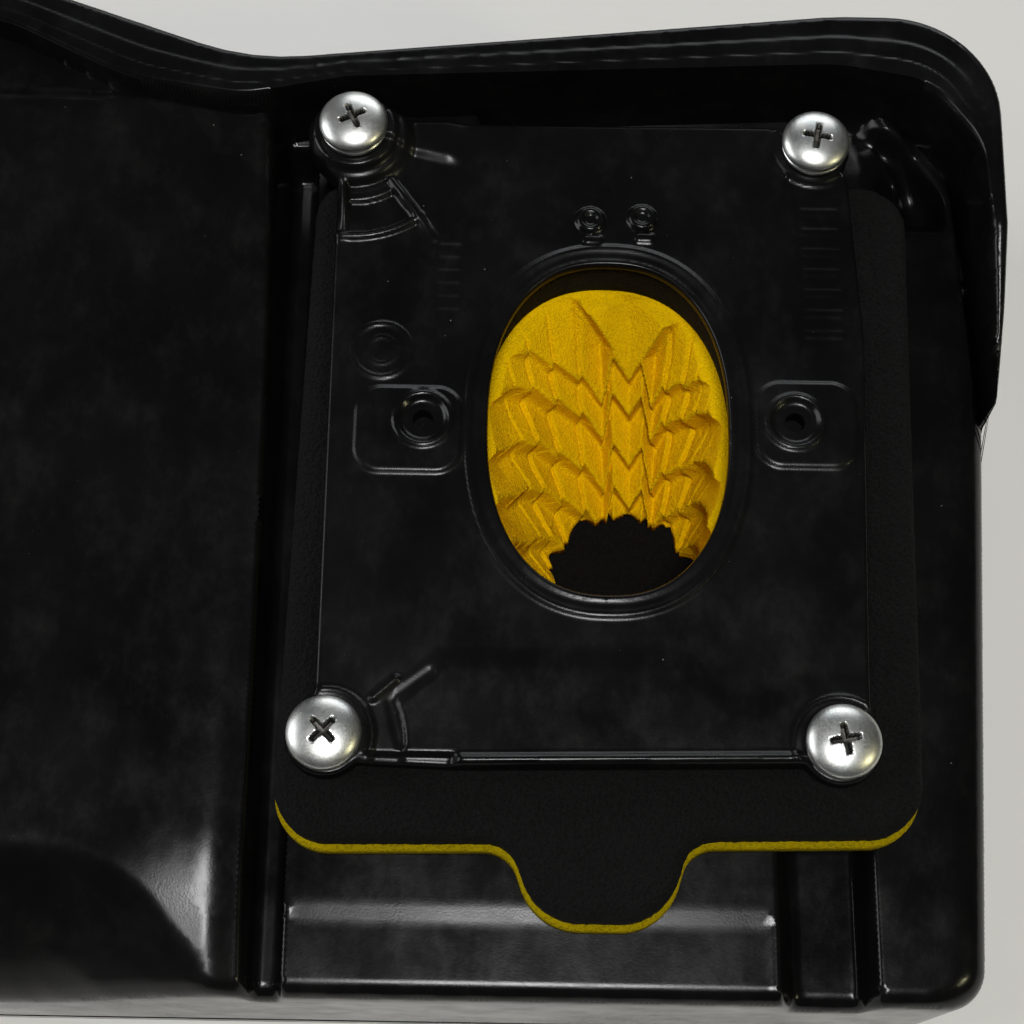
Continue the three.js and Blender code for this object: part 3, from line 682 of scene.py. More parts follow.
def build_case():
    """The relief, its outer walls, and a hollow underside that follows the relief."""
    outline = resample(CASE_OUTLINE, 1.0)
    well = resample(box_line(*WELL), 1.6)[::-1]
    rebate = box_line(*REBATE)

    def needs_fine(p):
        x, y = p.T
        ditch = np.abs(x - ditch_middle(y)) < 4.6
        near_rim = np.abs(depth_in(p, RIM_REGION)) < 3.2
        channel = (y < -62) & (((x > 27) & (x < 34)) | ((x > 42) & (x < 46.8)))
        corner = (x > 52) & (y > 42)
        on_rim = is_inside(p, RIM_REGION) & (y > 30)
        crease = (np.abs((p - DROP_VERTEX) @ ACROSS_FALL) < 2.5) & (x < -54) & (y < -70)
        return ditch | near_rim | channel | corner | on_rim | crease | (y < CASE_NEAR + 4)

    def top(p):
        height = case_height(p)
        within = depth_in(p, rebate)
        floor = LEDGE - REBATE_DEPTH * smooth(-0.3, 0.3, within)
        return np.where(within > -0.3, np.minimum(height, floor), height)

    lines = [resample(inset(CASE_OUTLINE, depth), 0.9) for depth in (0.2, 0.55, 1.1, 1.8, 2.8)]
    for gap in (-1.3, -0.6, -0.25, 0.1, 0.4, 0.9):
        lines.append(resample(inset(RIM_REGION, gap)[:len(RIM_INNER)], 0.7, closed=False))
    lines += [resample(inset(rebate, depth), 1.0) for depth in (-0.3, 0.3)]
    inner = fill_points([outline, well], 2.1, lines, needs_fine, 0.62)
    points, triangles = triangulate([outline, well], inner)
    upper = np.c_[points, top(points)]

    count, hole = len(outline), len(well)
    rings = []
    for share in WALL_SHARES:
        line = inset(outline, WALL_TUCK if share == 1 else 0.0)
        rings.append(layer(line, upper[:count, 2] * (1 - share) + WALL_FOOT * share))
    inner_outline = inset(outline, CASE_WALL)
    rings.append(layer(inner_outline, WALL_FOOT))

    low_points, low_triangles = triangulate([inner_outline, well], fill_points([inner_outline, well], 6.0))
    ceiling = top(low_points)
    for shift in REACH:
        ceiling = np.minimum(ceiling, top(low_points + np.array(shift, float)))
    ceiling = np.maximum(ceiling - CASE_CEILING, WALL_FOOT + 1)
    ceiling[count:count + hole] = LEDGE - LEDGE_THICK

    numbers = [np.arange(count)] + [len(upper) + count * k + np.arange(count) for k in range(len(rings) + 1)]
    base = numbers[-1][0]
    faces = triangles.tolist() + (low_triangles[:, ::-1] + base).tolist()
    for first, second in zip(numbers[:-1], numbers[1:]):
        faces += strip(first, second)
    top_hole = np.arange(count, count + hole)
    faces += strip(top_hole, top_hole + base)
    vertices = np.vstack([upper, *rings, layer(low_points, ceiling)])
    case = make_piece("case_shell", vertices, faces, CASE_PLASTIC, 70)
    settle(case, "case", "case_plastic", "case_body")


build_case()


# ---------------- intake plate
def outer_line(outline, extras, count=1400):
    """The outer boundary of an outline and some discs, seen from the origin."""
    angle = around(count)
    ray = np.c_[np.cos(angle), np.sin(angle)]
    reach = np.zeros(count)
    for a, b in zip(outline, np.roll(outline, -1, axis=0)):
        edge = b - a
        turn = ray[:, 0] * edge[1] - ray[:, 1] * edge[0]
        turn = np.where(np.abs(turn) < 1e-9, 1e-9, turn)
        along = (a[0] * edge[1] - a[1] * edge[0]) / turn
        share = (a[0] * ray[:, 1] - a[1] * ray[:, 0]) / turn
        hit = (share >= 0) & (share <= 1) & (along > 0)
        reach = np.where(hit, np.maximum(reach, along), reach)
    for x, y, radius in extras:
        middle = ray @ np.array([x, y])
        miss2 = x * x + y * y - middle ** 2
        hit = (miss2 < radius ** 2) & (middle > 0)
        far = middle + np.sqrt(np.maximum(radius ** 2 - miss2, 0))
        reach = np.where(hit, np.maximum(reach, far), reach)
    return ray * reach[:, None]


PLATE_OUTLINE = rounded([
    (-48.5, -60, 5), (-25, -60.8, 3), (34, -59.5, 3), (43.2, -52.5, 6), (45.6, 18, 40), (44, 52, 8),
    (31, 60.5, 6), (-49.6, 60, 4),
])
EAR_RADIUS = 6.6
BOSS_RADIUS = 8.6
GUIDES = ((-34.8, -1.5, 9.3), (34.6, 0.6, 8.8))      # middle and half width
NIPPLES = ((-3.2, 40.0), (6.2, 40.6))
DIMPLES = ((-32.3, 0.4), (32.6, 1.0))
RING_MARK = (-40.0, 13.6)
RING_MARK_RADII = (5.2, 2.6)
BARS = ((7, 38.4, 42.6, 4.1, 3.6, 0.75), (3, -28.6, 33.5, 5.2, 2.2, 1.3))     # count, start, step, half sizes
NEAR_FIELD = np.array([
    (-60, -50), (-40, -50), (-35, -49), (-28, -42.5), (12, -42.0), (19, -49), (24, -50.5), (32, -46),
    (60, -46), (60, -80), (-60, -80),
], float)
BOSS_STEPS = [(0, TALL_BOSS), (7.4, TALL_BOSS), (8.1, 2.6), (9.2, 2.2), (10.3, 0.7), (11.2, 0)]
LIP_Y, LIP_TILT = -59.7, 0.022


def rounded_box(points, x, y, half_x, half_y, radius):
    """Depth inside a rounded rectangle, negative outside."""
    q = np.abs(points - np.array([x, y])) - np.array([half_x, half_y]) + radius
    outside = np.hypot(*np.maximum(q, 0).T)
    return radius - outside - np.minimum(q.max(axis=1), 0)


def polar(points, x, y):
    """Distance and bearing in degrees from a place."""
    away = points - np.array([x, y])
    return np.hypot(*away.T), np.degrees(np.arctan2(away[:, 1], away[:, 0]))


def stripe(points, start, end, width):
    """One on a straight bar between two points, with soft sides."""
    gap = distance_to(points, np.array([start, end], float), closed=False)
    return smooth(width / 2 + 0.4, width / 2 - 0.4, gap)


def plate_height(points):
    """The plate's relief: ring, ears, ribs, pockets, lip and marks."""
    x, y = points.T
    height = np.full(len(points), PLATE) + 0.05 * hills(points, 45, 21, 2)

    # a soft raised field along the near side
    height += 0.4 * smooth(-2.2, 2.2, depth_in(points, NEAR_FIELD))

    # oval ring and the guide ears that run into it
    oval_depth = -depth_in(points, superellipse(*OVAL, count=160))
    ring = smooth(4.6, 3.4, oval_depth)
    ears = np.zeros(len(points))
    for gx, gy, half in GUIDES:
        ears = np.maximum(ears, smooth(-0.5, 0.5, rounded_box(points, gx, gy, half, 8, 4.5)))
    height += 0.5 * np.maximum(ring, ears)
    height -= 0.4 * bump(oval_depth - 1.9, 1.9) * (ring > 0)
    for dx, dy in DIMPLES:
        away, _ = polar(points, dx, dy)
        height -= 0.9 * smooth(4.6, 2.4, away) - 0.5 * bump(away - 4.8, 0.9)

    # small bosses and their tabs
    for nx, ny in NIPPLES:
        away, _ = polar(points, nx, ny)
        height += 1.1 * smooth(2.9, 2.2, away) - 0.6 * smooth(1.6, 1.0, away)
        height += 0.5 * smooth(-0.3, 0.3, rounded_box(points, nx + 0.4, ny - 3.9, 1.7, 0.9, 0.5))

    # plain ring mark and plain bars
    away, _ = polar(points, *RING_MARK)
    height += 0.28 * bump(away - RING_MARK_RADII[0], 0.75) + 0.2 * bump(away - RING_MARK_RADII[1], 0.6)
    for count, bar_x, bar_y, step, half_x, half_y in BARS:
        for k in range(count):
            within = rounded_box(points, bar_x, bar_y - step * k, half_x, half_y, 0.4)
            height += 0.15 * smooth(-0.25, 0.25, within)

    # far left screw: stepped boss, sunken arc with its ridge, and radial ribs
    sx, sy = SCREWS[0]
    away, angle = polar(points, sx, sy)
    sector = smooth(-118, -110, angle) * smooth(-46, -56, angle)
    height -= 1.9 * smooth(13.2, 14.0, away) * smooth(19.4, 18.4, away) * sector
    height += 0.8 * bump(away - 20.0, 1.0) * sector
    height += 0.9 * smooth(-18, -8, angle) * smooth(42, 30, angle) * smooth(22, 17, away)
    height += profile(away, BOSS_STEPS, 0.4)
    height += 0.8 * smooth(10.3, 11.0, away) * smooth(13.6, 12.8, away) * sector
    rib = np.maximum(stripe(points, (sx + 7, sy - 9), (sx + 15.2, sy - 20), 1.6),
                     stripe(points, (sx - 1.6, sy - 9), (sx - 1.2, sy - 23), 1.4) * smooth(-24, -12, y - sy))
    height = np.maximum(height, PLATE + 1.7 * rib * smooth(25, 14, away) + 0.2 * rib)

    # near left screw: pocket, short bars and a set-back edge
    sx, sy = SCREWS[2]
    away, angle = polar(points, sx, sy)
    sector = smooth(-32, -26, angle) * smooth(66, 58, angle)
    height -= 1.4 * smooth(8.0, 8.8, away) * smooth(13.4, 12.4, away) * sector
    bar = stripe(points, (sx + 7.6, sy + 6.4), (sx + 11.4, sy + 9.8), 1.1)
    height = np.maximum(height, PLATE + 0.8 * bar)
    crease = np.array([(sx + 17, sy + 11), (sx + 10.5, sy + 6), (sx + 12.5, sy - 1)])
    height -= 0.35 * bump(distance_to(points, crease, closed=False), 1.5)
    height -= 1.0 * smooth(-58.4, -59.2, y) * smooth(-24.5, -26, x)

    # far right screw: faint diagonal rib and a low seat
    sx, sy = SCREWS[1]
    height += 0.4 * stripe(points, (sx - 5.5, sy - 6), (sx - 8.5, sy - 14), 1.0)
    for sx, sy in SCREWS[1:]:
        away, _ = polar(points, sx, sy)
        height = height + (PLATE - height) * smooth(7.6, 6.4, away)
        height += 0.35 * bump(away - 7.9, 0.8)

    # rounded lip along the near edge
    lip = smooth(-25.5, -24, x) * smooth(34, 32, x)
    height += 0.75 * bump(y - LIP_Y - LIP_TILT * (x + 25), 1.4) * lip
    return height


def build_plate():
    discs = [(x, y, EAR_RADIUS) for x, y in SCREWS[1:]] + [(*SCREWS[0], BOSS_RADIUS)]
    outline = resample(outer_line(PLATE_OUTLINE, discs), 0.62)
    oval = superellipse(*OVAL, count=260)
    coarse_oval = superellipse(*OVAL, count=60)
    holes = [circle(2.8, 28, x, y) for x, y in SCREWS]
    dimples = [circle(1.8, 20, x, y) for x, y in DIMPLES]

    def detailed(p):
        x, y = p.T
        busy = depth_in(p, coarse_oval) > -6.5
        for (sx, sy), reach in zip(SCREWS, (24, 10, 15, 10)):
            busy |= np.hypot(x - sx, y - sy) < reach
        busy |= (np.abs(y) < 11) | ((y > 32) & (y < 46) & (np.abs(x - 1.5) < 9))
        busy |= (x > 33) & (y > 14) & (y < 47)
        busy |= (x < -24) & (y > 5) & (y < 38)
        busy |= (y < -55) | ((y < -39) & (y > -53) & (np.abs(x) > 10))
        return busy

    def top(p):
        return plate_height(p) - round_over(depth_in(p, outline), 0.8) - round_over(-depth_in(p, oval), 0.9)

    def low(p):
        return PLATE_LOW + 1.7 * smooth(3.0, 0.6, -depth_in(p, oval))

    plate = sheet("intake_cover", [outline, oval, *holes, *dimples], top, low, PLATE_PLASTIC, spacing=1.1,
                  rows=(0.08, 0.25, 0.5, 0.9), fine=detailed, fine_spacing=0.46, sharp_angle=75)
    settle(plate, "plate", "plate_plastic", "intake_plate")


build_plate()


# ---------------- foam flanges
FLANGE = rounded([
    (-55, -72.5, 9), (-15.8, -71.8, 6), (-11.5, -84.6, 10), (9.6, -84.6, 10), (13.6, -71, 6), (51.8, -70, 9),
    (55.3, 50.3, 8), (-53.5, 50.3, 8),
])


def rough(count, amount, seed):
    """Seeded unevenness of single points."""
    return np.random.default_rng(seed).uniform(-amount, amount, count)


FLANGE_TOP, FLANGE_SPLIT, FLANGE_LOW = 62.6, 57.5, 54.3


def build_flanges():
    """Two foam layers with the pull tab, clamped under the plate."""
    outline = resample(FLANGE, 0.6)
    outline = outline + rough(outline.size, 0.07, 5).reshape(outline.shape)
    opening = superellipse(22.5, 32.0, 2.35, count=220)
    holes = [circle(5.7, 40, x, y) for x, y in SCREWS[2:]]

    def seen(p):
        return (depth_in(p, FLANGE) < 14) | (-depth_in(p, opening) < 3)

    def top(p):
        edge = depth_in(p, outline)
        body = FLANGE_TOP - round_over(edge + 0.15, 2.1) + 0.22 * hills(p, 14, 31) + rough(len(p), 0.1, 7)
        return np.minimum(body - 0.5 * bump(depth_in(p, PLATE_OUTLINE), 2.0), FLANGE_TOP + 0.1)

    def low(p):
        return FLANGE_SPLIT + 0.1 - 3.1 * smooth(2.2, 1.6, -depth_in(p, opening))

    black = sheet("flange_foam_black", [outline, opening, *holes], top, low, FOAM_BLACK, spacing=2.5,
                  rows=(0.1, 0.35, 0.75, 1.2), side_rows=5, fine=seen, fine_spacing=0.62)
    settle(black, "filter_element", "foam_black", "foam_flange_black")

    wider = resample(inset(FLANGE, -0.3), 0.8) + np.array([0, -0.8])

    def yellow_top(p):
        return FLANGE_SPLIT - round_over(depth_in(p, wider) + 0.1, 0.8) + rough(len(p), 0.05, 9)

    def yellow_low(p):
        return np.full(len(p), FLANGE_LOW)

    # the flange wears the darker yellow foam: painted shade on its edge
    yellow = sheet("flange_foam_yellow", [wider, superellipse(25, 35, 2.35, count=120), *holes], yellow_top,
                   yellow_low, FOAM_YELLOW_SHADED, spacing=4, rows=(0.15, 0.4, 0.9), side_rows=3)
    settle(yellow, "filter_element", "foam_yellow", "foam_flange_yellow")


build_flanges()


# ---------------- foam core with its scaled pocket
CORE_BOX = (31.5, 40.5, 2.5)
CORE_LOW, CORE_TOP = 21.0, 54.0
MOUTH = (23.5, 31.5, 2.35, 0.0, 0.0)
FLOOR = (16.0, 17.0, 2.2, 5.0, -17.0)
SLOPE_LENGTH = 45.5
ROW_TIPS = (17.1, 24.3, 34.5, 43.0, 51.5, 59.5)
ZIGZAG = np.array([
    (-60, -42), (-38, -23), (-29, -17), (-22.6, -11.2), (-22.2, -12.0), (-16.1, -4.6), (-15.6, -5.8),
    (-10.0, 0.1), (-9.5, -1.1), (-5.2, 5.2), (-3.1, -4.6), (0.2, 0), (3.0, -4.6), (5.2, 4.2), (8.2, -1.7),
    (8.9, -0.6), (14.0, -6.3), (14.6, -5.4), (19.8, -11.7), (29, -20.5), (60, -46),
])
FIRST_TIP, FIRST_SLOPE = (0.3, 17.1), 1.75
POCKET_MIDDLE = 4.6
FIRST_TREAD = 0.26
NOWHERE = 60.0                    # longer than any way down the pocket
SCALE_JOINTS = (-29.5, -22.8, -15.9, -9.8, 8.8, 14.6, 20.4, 27.0)
SCALE_HEIGHT = 3.8
TREAD_SLOPE, RISER_SLOPE = 0.64, 1.45


def pocket_ring(share, angle):
    """The plain pocket's section, at a share of the way down from its mouth to its floor."""
    ease = share ** 1.15
    a, b, n, x, y = (m + (f - m) * ease for m, f in zip(MOUTH, FLOOR))
    return layer(squared(a, b, n, angle, x, y), CORE_TOP + (CORE_LOW - CORE_TOP) * share)


def scale_relief(across, down):
    """Relief of overlapping rows of pointed scales, each one a sloping tread above a steep riser."""
    border = np.interp(across, ZIGZAG[:, 0], ZIGZAG[:, 1])
    below = np.full(across.shape, NOWHERE)
    above = np.full(across.shape, NOWHERE)
    first_gap = FIRST_TIP[1] - FIRST_SLOPE * np.abs(across - FIRST_TIP[0]) - down
    for gap in (first_gap, *(tip + border - down for tip in ROW_TIPS)):
        below = np.where(gap >= 0, np.minimum(below, gap), below)
        above = np.where(gap < 0, np.minimum(above, -gap), above)
    first = above > NOWHERE - 1
    slope = FIRST_TREAD + (TREAD_SLOPE - FIRST_TREAD) * smooth(3, 19, down)
    tread = SCALE_HEIGHT - np.where(first, FIRST_TREAD, slope) * below
    riser = SCALE_HEIGHT - RISER_SLOPE * above
    relief = np.where(first, tread, blend_max(tread, riser, 1.8))
    relief = relief - 0.45 * bump(below, 0.7)
    for joint in SCALE_JOINTS:
        relief = relief - 0.5 * np.exp(-((across - joint) / 0.5) ** 2)
    return np.maximum(relief, -2.2)


def build_core():
    """A foam block whose pocket carries the scales, laid out by the way across and down its wall."""
    sides, depth_rows = 560, 150
    shares = np.linspace(0, 1, depth_rows)
    rings = np.array([pocket_ring(share, around(sides)) for share in shares])
    tangent = np.roll(rings, -1, axis=1) - np.roll(rings, 1, axis=1)
    downhill = np.gradient(rings, axis=0)
    normal = np.cross(tangent, downhill)
    normal /= np.maximum(np.linalg.norm(normal, axis=2, keepdims=True), 1e-9)
    centre = rings.mean(axis=1, keepdims=True)
    normal *= np.sign(((centre - rings) * normal)[..., :2].sum(axis=2, keepdims=True))
    across = np.zeros((depth_rows, sides))
    for k, ring in enumerate(rings):
        steps = np.hypot(*np.diff(np.r_[ring, ring[:1]][:, :2], axis=0).T)
        along = np.r_[0, np.cumsum(steps)]
        off_middle = np.abs(ring[:, 0] - (POCKET_MIDDLE + 1.8 * shares[k]))
        far = np.argmin(np.where(ring[:, 1] < centre[k, 0, 1], np.inf, off_middle))
        half_way = along[-1] / 2
        across[k] = half_way - (along[:-1] - along[far] + half_way) % along[-1]
    relief = scale_relief(across, shares[:, None] * SLOPE_LENGTH * np.ones((1, sides)))
    fade = smooth(0, 0.05, shares)[:, None]
    relief = relief * fade + rough(relief.size, 0.06, 13).reshape(relief.shape)
    wall = rings + normal * relief[..., None]
    wall[..., 2] = np.clip(wall[..., 2], CORE_LOW, CORE_TOP)
    wall[-1, :, 2] = CORE_LOW

    outer = outer_line(box_line(*CORE_BOX), (), sides)
    start = np.arctan2(rings[0, :, 1], rings[0, :, 0])
    aim = np.arctan2(outer[:, 1], outer[:, 0])
    order = np.argsort(aim)
    outer = np.c_[np.interp(start, aim[order], outer[order, 0], period=2 * np.pi),
                  np.interp(start, aim[order], outer[order, 1], period=2 * np.pi)]
    layers = [layer(outer, CORE_LOW), layer(outer, CORE_TOP - 0.6), layer(outer * 0.985, CORE_TOP)]
    points = np.vstack([*layers, *wall, layers[0]])
    core = make_piece("core_foam", points, grid_faces(len(layers) + depth_rows + 1, sides), FOAM_YELLOW)
    settle(core, "filter_element", "foam_yellow", "foam_core_yellow")


build_core()


# ---------------- screws and washers
HEAD_RADIUS, HEAD_HEIGHT, HEAD_RIM = 6.2, 3.1, 0.7
SHANK_RADIUS, SHANK_LENGTH = 2.35, 18.0
THREAD_PITCH, THREAD_DEPTH = 0.8, 0.42
RECESS = (2.7, 1.15, 2.3)         # reach, width and depth of the cross
SLOPE_START = 0.7                 # the share of the head's rings before they crowd towards the rim
WASHER = (2.7, 6.0, 1.1)


def cross_recess(x, y, reach, width, depth):
    """Depth of a cross recess at a point on a screw's head."""
    def arm(u, v):
        half = width / 2 * (1 - 0.25 * np.abs(v) / reach)
        return smooth(half + 0.12, half - 0.16, np.abs(u)) * smooth(reach, reach - 0.55, np.abs(v))
    away = np.hypot(x, y)
    return depth * np.maximum(arm(x, y), arm(y, x)) * (1 - 0.35 * away / reach)


def build_screw(name):
    """A domed cross-recess screw about Z, its head's underside at zero."""
    sides, rings = 80, 34
    angle = around(sides)
    dome = HEAD_HEIGHT - HEAD_RIM
    layers = [ring_at(0.0, HEAD_HEIGHT - RECESS[2], angle)]
    for k in range(1, rings + 1):
        share = k / rings
        even = math.sin(math.pi / 2 * SLOPE_START) * share / SLOPE_START
        out = HEAD_RADIUS * (math.sin(math.pi / 2 * share) if share > SLOPE_START else even)
        x, y = out * np.cos(angle), out * np.sin(angle)
        z = HEAD_RIM + dome * math.sqrt(max(1 - (out / HEAD_RADIUS) ** 2, 0)) - cross_recess(x, y, *RECESS)
        layers.append(np.c_[x, y, z])
    stops = [(HEAD_RADIUS, HEAD_RIM * 0.6), (HEAD_RADIUS - 0.15, 0.12), (HEAD_RADIUS - 0.45, 0.0),
             (SHANK_RADIUS, 0.0)]
    for k in range(int((SHANK_LENGTH - 1.5) / THREAD_PITCH)):
        for share, cut in ((0.25, 0), (0.5, THREAD_DEPTH), (0.75, THREAD_DEPTH), (1.0, 0)):
            stops.append((SHANK_RADIUS - cut, -0.8 - THREAD_PITCH * (k + share)))
    stops += [(SHANK_RADIUS - 0.9, -SHANK_LENGTH), (0.001, -SHANK_LENGTH)]
    layers += [ring_at(radius, z, angle) for radius, z in stops]
    screw = make_piece(name, np.vstack(layers), grid_faces(len(layers), sides), ZINC, 50)
    # the cross recess's deep faces take the darker zinc: painted shade in the recess
    screw.data.materials.append(ZINC_RECESS_SHADE)
    for face in screw.data.polygons:
        x, y, z = face.center / MM
        if z > 0.1 and cross_recess(x, y, *RECESS) > 0.35 * RECESS[2]:
            face.material_index = 1
    return screw


def build_plate_screws():
    inner, outer, thick = WASHER
    stops = [(inner, 0.1), (inner, thick - 0.1), (inner + 0.1, thick), (outer - 0.25, thick),
             (outer, thick - 0.25), (outer, 0.25), (outer - 0.25, 0), (inner + 0.1, 0)]
    for i, (x, y) in enumerate(SCREWS):
        n = i + 1
        seat = PLATE + GAP + (TALL_BOSS if i == 0 else 0)
        home = (f"washer_{n}_body", "zinc_steel", f"washer_{n}")
        turned(f"washer_disc_{n}", stops, ZINC, (x, y, seat), "Z", 64, *home)
        screw = place(build_screw(f"dome_screw_{n}"), x, y, seat + GAP + thick, turn=25 + 55 * i)
        settle(screw, f"screw_{n}_body", "zinc_steel", f"plate_screw_{n}")


build_plate_screws()


# ---------------- foam backing, posts and other hidden parts
BACKING = (35.8, 44.8, 5.0)
BACKING_LOW, BACKING_FLOOR, BACKING_WALL = 15.0, 20.7, 4.0
POST_RADIUS, POST_BORE, POST_LOW, POST_TOP = 5.0, 3.6, 36.0, 62.7


def build_backing():
    """A foam box with a cell-rough skin, open at the top."""
    half_x, half_y, corner = BACKING
    outer = resample(box_line(half_x, half_y, corner), 0.9)
    inner = resample(box_line(half_x - BACKING_WALL, half_y - BACKING_WALL, 2.5), 0.9)
    count = len(outer)
    inner, outer = outer_line(inner, (), count), outer_line(outer, (), count)
    floor, floor_triangles = triangulate([inner], fill_points([inner], 0.8))
    base, base_triangles = triangulate([outer], fill_points([outer], 4.0))
    rows = [layer(base[:count], BACKING_LOW)]
    for z in np.linspace(BACKING_LOW + 0.8, CORE_TOP - 0.6, 30):
        swell = 0.15 * hills(outer, 9, 41 + int(z), 1) - 0.15
        rows.append(layer(outer * (1 + swell[:, None] / 40), z))
    rows += [layer(inner * 0.35 + outer * 0.65, CORE_TOP), layer(inner * 0.9 + outer * 0.1, CORE_TOP),
             layer(inner, CORE_TOP - 0.6), layer(floor[:count], BACKING_FLOOR)]
    lift = BACKING_FLOOR + rough(len(floor) - count, 0.2, 3) - 0.25
    points = np.vstack([*rows, layer(floor[count:], lift), layer(base[count:], BACKING_LOW)])
    last = (len(rows) - 1) * count

    def renumber(triangles, first, later):
        """The rim's points are a ring of the stack, and the others follow it."""
        return np.where(triangles < count, triangles + first, triangles - count + later).tolist()

    faces = grid_faces(len(rows), count) + renumber(floor_triangles, last, last + count)
    faces += renumber(base_triangles[:, ::-1], 0, last + len(floor))
    backing = make_piece("backing_foam", points, faces, FOAM_BLACK)
    settle(backing, "filter_element", "foam_black", "foam_backing_black")


def build_posts():
    """Screw posts that rise from the ledge through the foam, and the drain's stub."""
    stops = [(POST_BORE, POST_LOW), (POST_RADIUS, POST_LOW), (POST_RADIUS, POST_TOP - 0.4),
             (POST_RADIUS - 0.4, POST_TOP), (POST_BORE + 0.3, POST_TOP), (POST_BORE, POST_TOP - 0.3)]
    for i, (x, y) in enumerate(SCREWS):
        turned(f"screw_post_{i + 1}", stops, CASE_PLASTIC, (x, y, 0), "Z", 64, "case", "case_plastic")
    stops = [(DRAIN_BORE, -1), (DRAIN_STUB, -1), (DRAIN_STUB, 14.5), (DRAIN_STUB - 0.4, 15),
             (DRAIN_BORE + 0.3, 15), (DRAIN_BORE, 14.7)]
    turned("drain_stub", stops, CASE_PLASTIC, (CASE_LEFT, DRAIN_Y, DRAIN_Z), "-X", 64, "case", "case_plastic")


OUTLET_Y, OUTLET_Z = -8.0, 31.0
OUTLET_BORE, OUTLET_SPIGOT, OUTLET_HOSE, OUTLET_LENGTH = 17.5, 20.0, 23.5, 34.0
DRAIN_Y, DRAIN_Z = -60.0, 15.0
DRAIN_BORE, DRAIN_STUB, DRAIN_CAP = 2.5, 4.5, 6.5
BAND_WIDTH, BAND_THICK = 8.0, 1.2
LUG_LINE = rounded([(-4, -1.2, 0.5), (4, -1.2, 0.5), (4, 7.4, 2.4), (-4, 7.4, 2.4)])
LUG_LOWS = {"near": 1.6, "far": -4.9}
LUG_THICK = 3.3


def build_outlet():
    """The rubber duct with its grip rings, the spigot inside it, the clamp band and its lugs."""
    bore, hose, length = OUTLET_BORE, OUTLET_HOSE, OUTLET_LENGTH
    sleeve, wide = OUTLET_SPIGOT + GAP, hose + 1.5
    stops = [(sleeve, 0.5), (sleeve + 0.5, 0), (hose - 0.5, 0), (hose, 0.5), (hose, 18.6), (hose + 0.5, 19.6),
             (wide - 0.3, 20.8), (wide, 21.4)]
    for k in range(3):
        start = 23.4 + 3 * k
        stops += [(wide, start), (wide - 0.6, start + 0.4), (wide - 0.6, start + 1.2), (wide, start + 1.6)]
    stops += [(wide, length - 1), (wide - 0.3, length - 0.3), (wide - 1, length), (bore + 0.8, length),
              (bore, length - 0.8), (bore, 11.5), (sleeve, 11.5)]
    at = (CASE_LEFT - 2, OUTLET_Y, OUTLET_Z)
    turned("outlet_duct", stops, RUBBER, at, "-X", 96, "case", "rubber", "outlet_joint")

    stops = [(bore, 0.3), (bore + 0.3, 0), (hose - 0.3, 0), (hose, 0.3), (hose, 2), (OUTLET_SPIGOT, 2),
             (OUTLET_SPIGOT, 16.5), (OUTLET_SPIGOT - 0.5, 17), (bore + 0.3, 17), (bore, 16.7)]
    at = (CASE_LEFT + 5.3, OUTLET_Y, OUTLET_Z)
    turned("outlet_tube", stops, CASE_PLASTIC, at, "-X", 96, "case", "case_plastic", "outlet_spigot")

    inner, outer, width = hose + GAP, hose + GAP + BAND_THICK, BAND_WIDTH
    stops = [(inner, 0.2), (inner + 0.3, 0), (outer, 0), (outer, 0.9), (outer - 0.35, 1.2),
             (outer - 0.35, width - 1.2), (outer, width - 0.9), (outer, width), (inner + 0.3, width),
             (inner, width - 0.2)]
    at = (CASE_LEFT - 6, OUTLET_Y, OUTLET_Z)
    turned("clamp_band", stops, ZINC, at, "-X", 96, "case", "zinc_steel", "outlet_clamp")
    for side, low in LUG_LOWS.items():
        lug = sheet(f"clamp_lug_{side}", [resample(LUG_LINE, 0.5), circle(2.3, 28, 0, 4)],
                    lambda p: low + LUG_THICK - round_over(depth_in(p, LUG_LINE), 0.5),
                    lambda p: low + round_over(depth_in(p, LUG_LINE), 0.5), ZINC, spacing=0.9)
        place(lug, CASE_LEFT - 10, OUTLET_Y, OUTLET_Z + inner + 0.4, "-Y")
        settle(lug, "case", "zinc_steel")


def build_drain_cap():
    stub, cap = DRAIN_STUB + GAP, DRAIN_CAP
    stops = [(stub, 0.4), (stub + 0.4, 0), (cap - 0.4, 0), (cap, 0.4), (cap, 9.5), (cap - 0.4, 10),
             (cap - 0.4, 10.8), (cap, 11.3), *arc_stops(cap - 2, 15, 2, 0, 90, 6), (0.001, 17), (0.001, 13),
             (stub, 13)]
    at = (CASE_LEFT - GAP, DRAIN_Y, DRAIN_Z)
    turned("drain_plug", stops, RUBBER, at, "-X", 72, "drain_stopper", "rubber", "drain_cap")


KEPT = (
    (("case_base",), CASE_PLASTIC, 0.5),
    (("base_seal",), RUBBER, 0.35),
    (("support_cage",), CAGE_PLASTIC, 0.3),
    (("outlet_clamp_screw", "drain_clip"), ZINC, 0.15),
    (tuple(f"base_screw_{i}" for i in range(1, 7)), ZINC, 0.2),
    (tuple(f"thread_insert_{i}" for i in range(1, 5)), BRASS, 0.1),
)


def finish_kept():
    """Materials and softened edges for the CAD nodes that no piece replaces."""
    for names, material, width in KEPT:
        for name in names:
            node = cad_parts[name]
            node.data.materials.clear()
            node.data.materials.append(material)
            soften(node, width)


build_backing()
build_posts()
build_outlet()
build_drain_cap()
finish_kept()


# ---------------- stage, light and camera
TILT = math.radians(20)
ROLL = math.radians(1)
TARGET = Vector((-16.5, -16.5, 66.0))
AWAY = 310.0
LENS, SENSOR = 63.7, 36
ROOM_LIGHT = 0.03
BENCH_SIZE = 1500.0               # from the middle to a side
DAYLIGHT = (0.97, 0.98, 1.0)
LAMPLIGHT = (1.0, 0.93, 0.55)


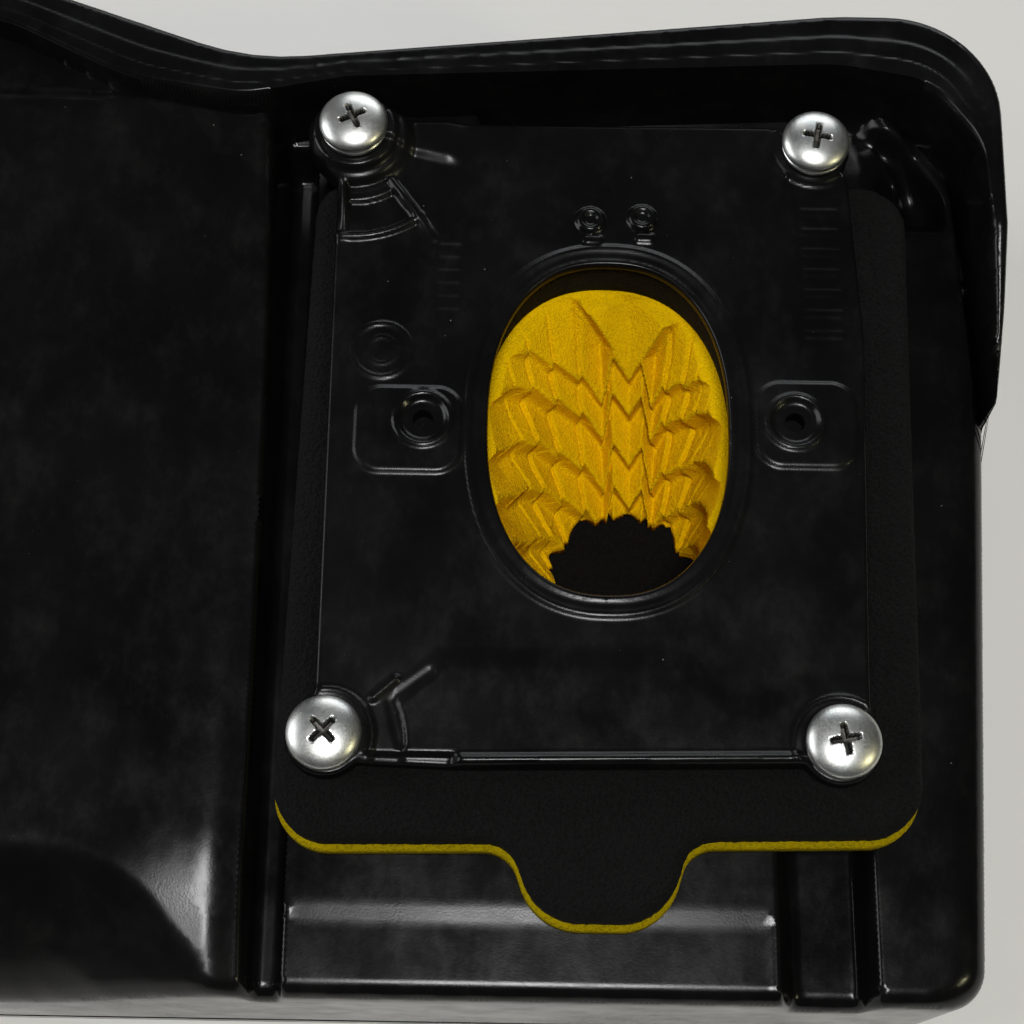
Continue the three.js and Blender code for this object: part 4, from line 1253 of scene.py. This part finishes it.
def build_camera():
    """A camera above the near side, tilted from straight down."""
    right = Vector((1, 0, 0))
    up = Vector((0, math.cos(TILT), math.sin(TILT)))
    back = right.cross(up)
    turned_right = right * math.cos(ROLL) + up * math.sin(ROLL)
    turned_up = up * math.cos(ROLL) - right * math.sin(ROLL)
    data = bpy.data.cameras.new("camera")
    data.lens = LENS
    data.sensor_width = SENSOR
    data.clip_start = 0.01
    camera = bpy.data.objects.new("camera", data)
    bpy.context.scene.collection.objects.link(camera)
    frame_axes = Matrix((turned_right, turned_up, back)).transposed()
    camera.matrix_world = Matrix.Translation((TARGET + back * AWAY) * MM) @ frame_axes.to_4x4()
    bpy.context.scene.camera = camera


def add_light(name, place_at, aim, size, power, colour=(1, 1, 1), shape="DISK", size_y=None):
    data = bpy.data.lights.new(name, "AREA")
    data.shape = shape
    data.size = size
    if size_y:
        data.size_y = size_y
    data.energy = power
    data.color = colour
    light = bpy.data.objects.new(name, data)
    bpy.context.scene.collection.objects.link(light)
    turn = (Vector(aim) - Vector(place_at)).to_track_quat("-Z", "Y")
    light.matrix_world = Matrix.Translation(place_at) @ turn.to_matrix().to_4x4()


def build_stage():
    """The bench, the room's dim light, a lamp over the near side and windows around."""
    corners = [(x * BENCH_SIZE, y * BENCH_SIZE, 0) for x, y in ((-1, -1), (1, -1), (1, 1), (-1, 1))]
    floor = make_piece("floor", corners, [(0, 1, 2, 3)], bench("bench"))
    floor.location.z = -0.0002
    world = bpy.data.worlds.new("room")
    world.use_nodes = True
    background = world.node_tree.nodes["Background"]
    background.inputs["Color"].default_value = (0.92, 0.96, 1.0, 1)
    background.inputs["Strength"].default_value = ROOM_LIGHT
    bpy.context.scene.world = world
    bpy.context.scene.view_settings.view_transform = "Standard"
    middle = (0.0, 0.0, 0.06)
    add_light("lamp", (0.0, -0.24, 1.05), middle, 0.24, 6.5)
    add_light("far_window", (0.15, 1.1, 0.55), middle, 0.9, 4, (0.94, 0.97, 1.0), "RECTANGLE", 0.5)
    add_light("right_lamp", (0.95, -0.45, 0.75), middle, 0.12, 1.8, LAMPLIGHT)
    add_light("left_window", (-1.35, 0.1, 0.7), middle, 1.0, 9, DAYLIGHT, "RECTANGLE", 0.7)


build_stage()
build_camera()
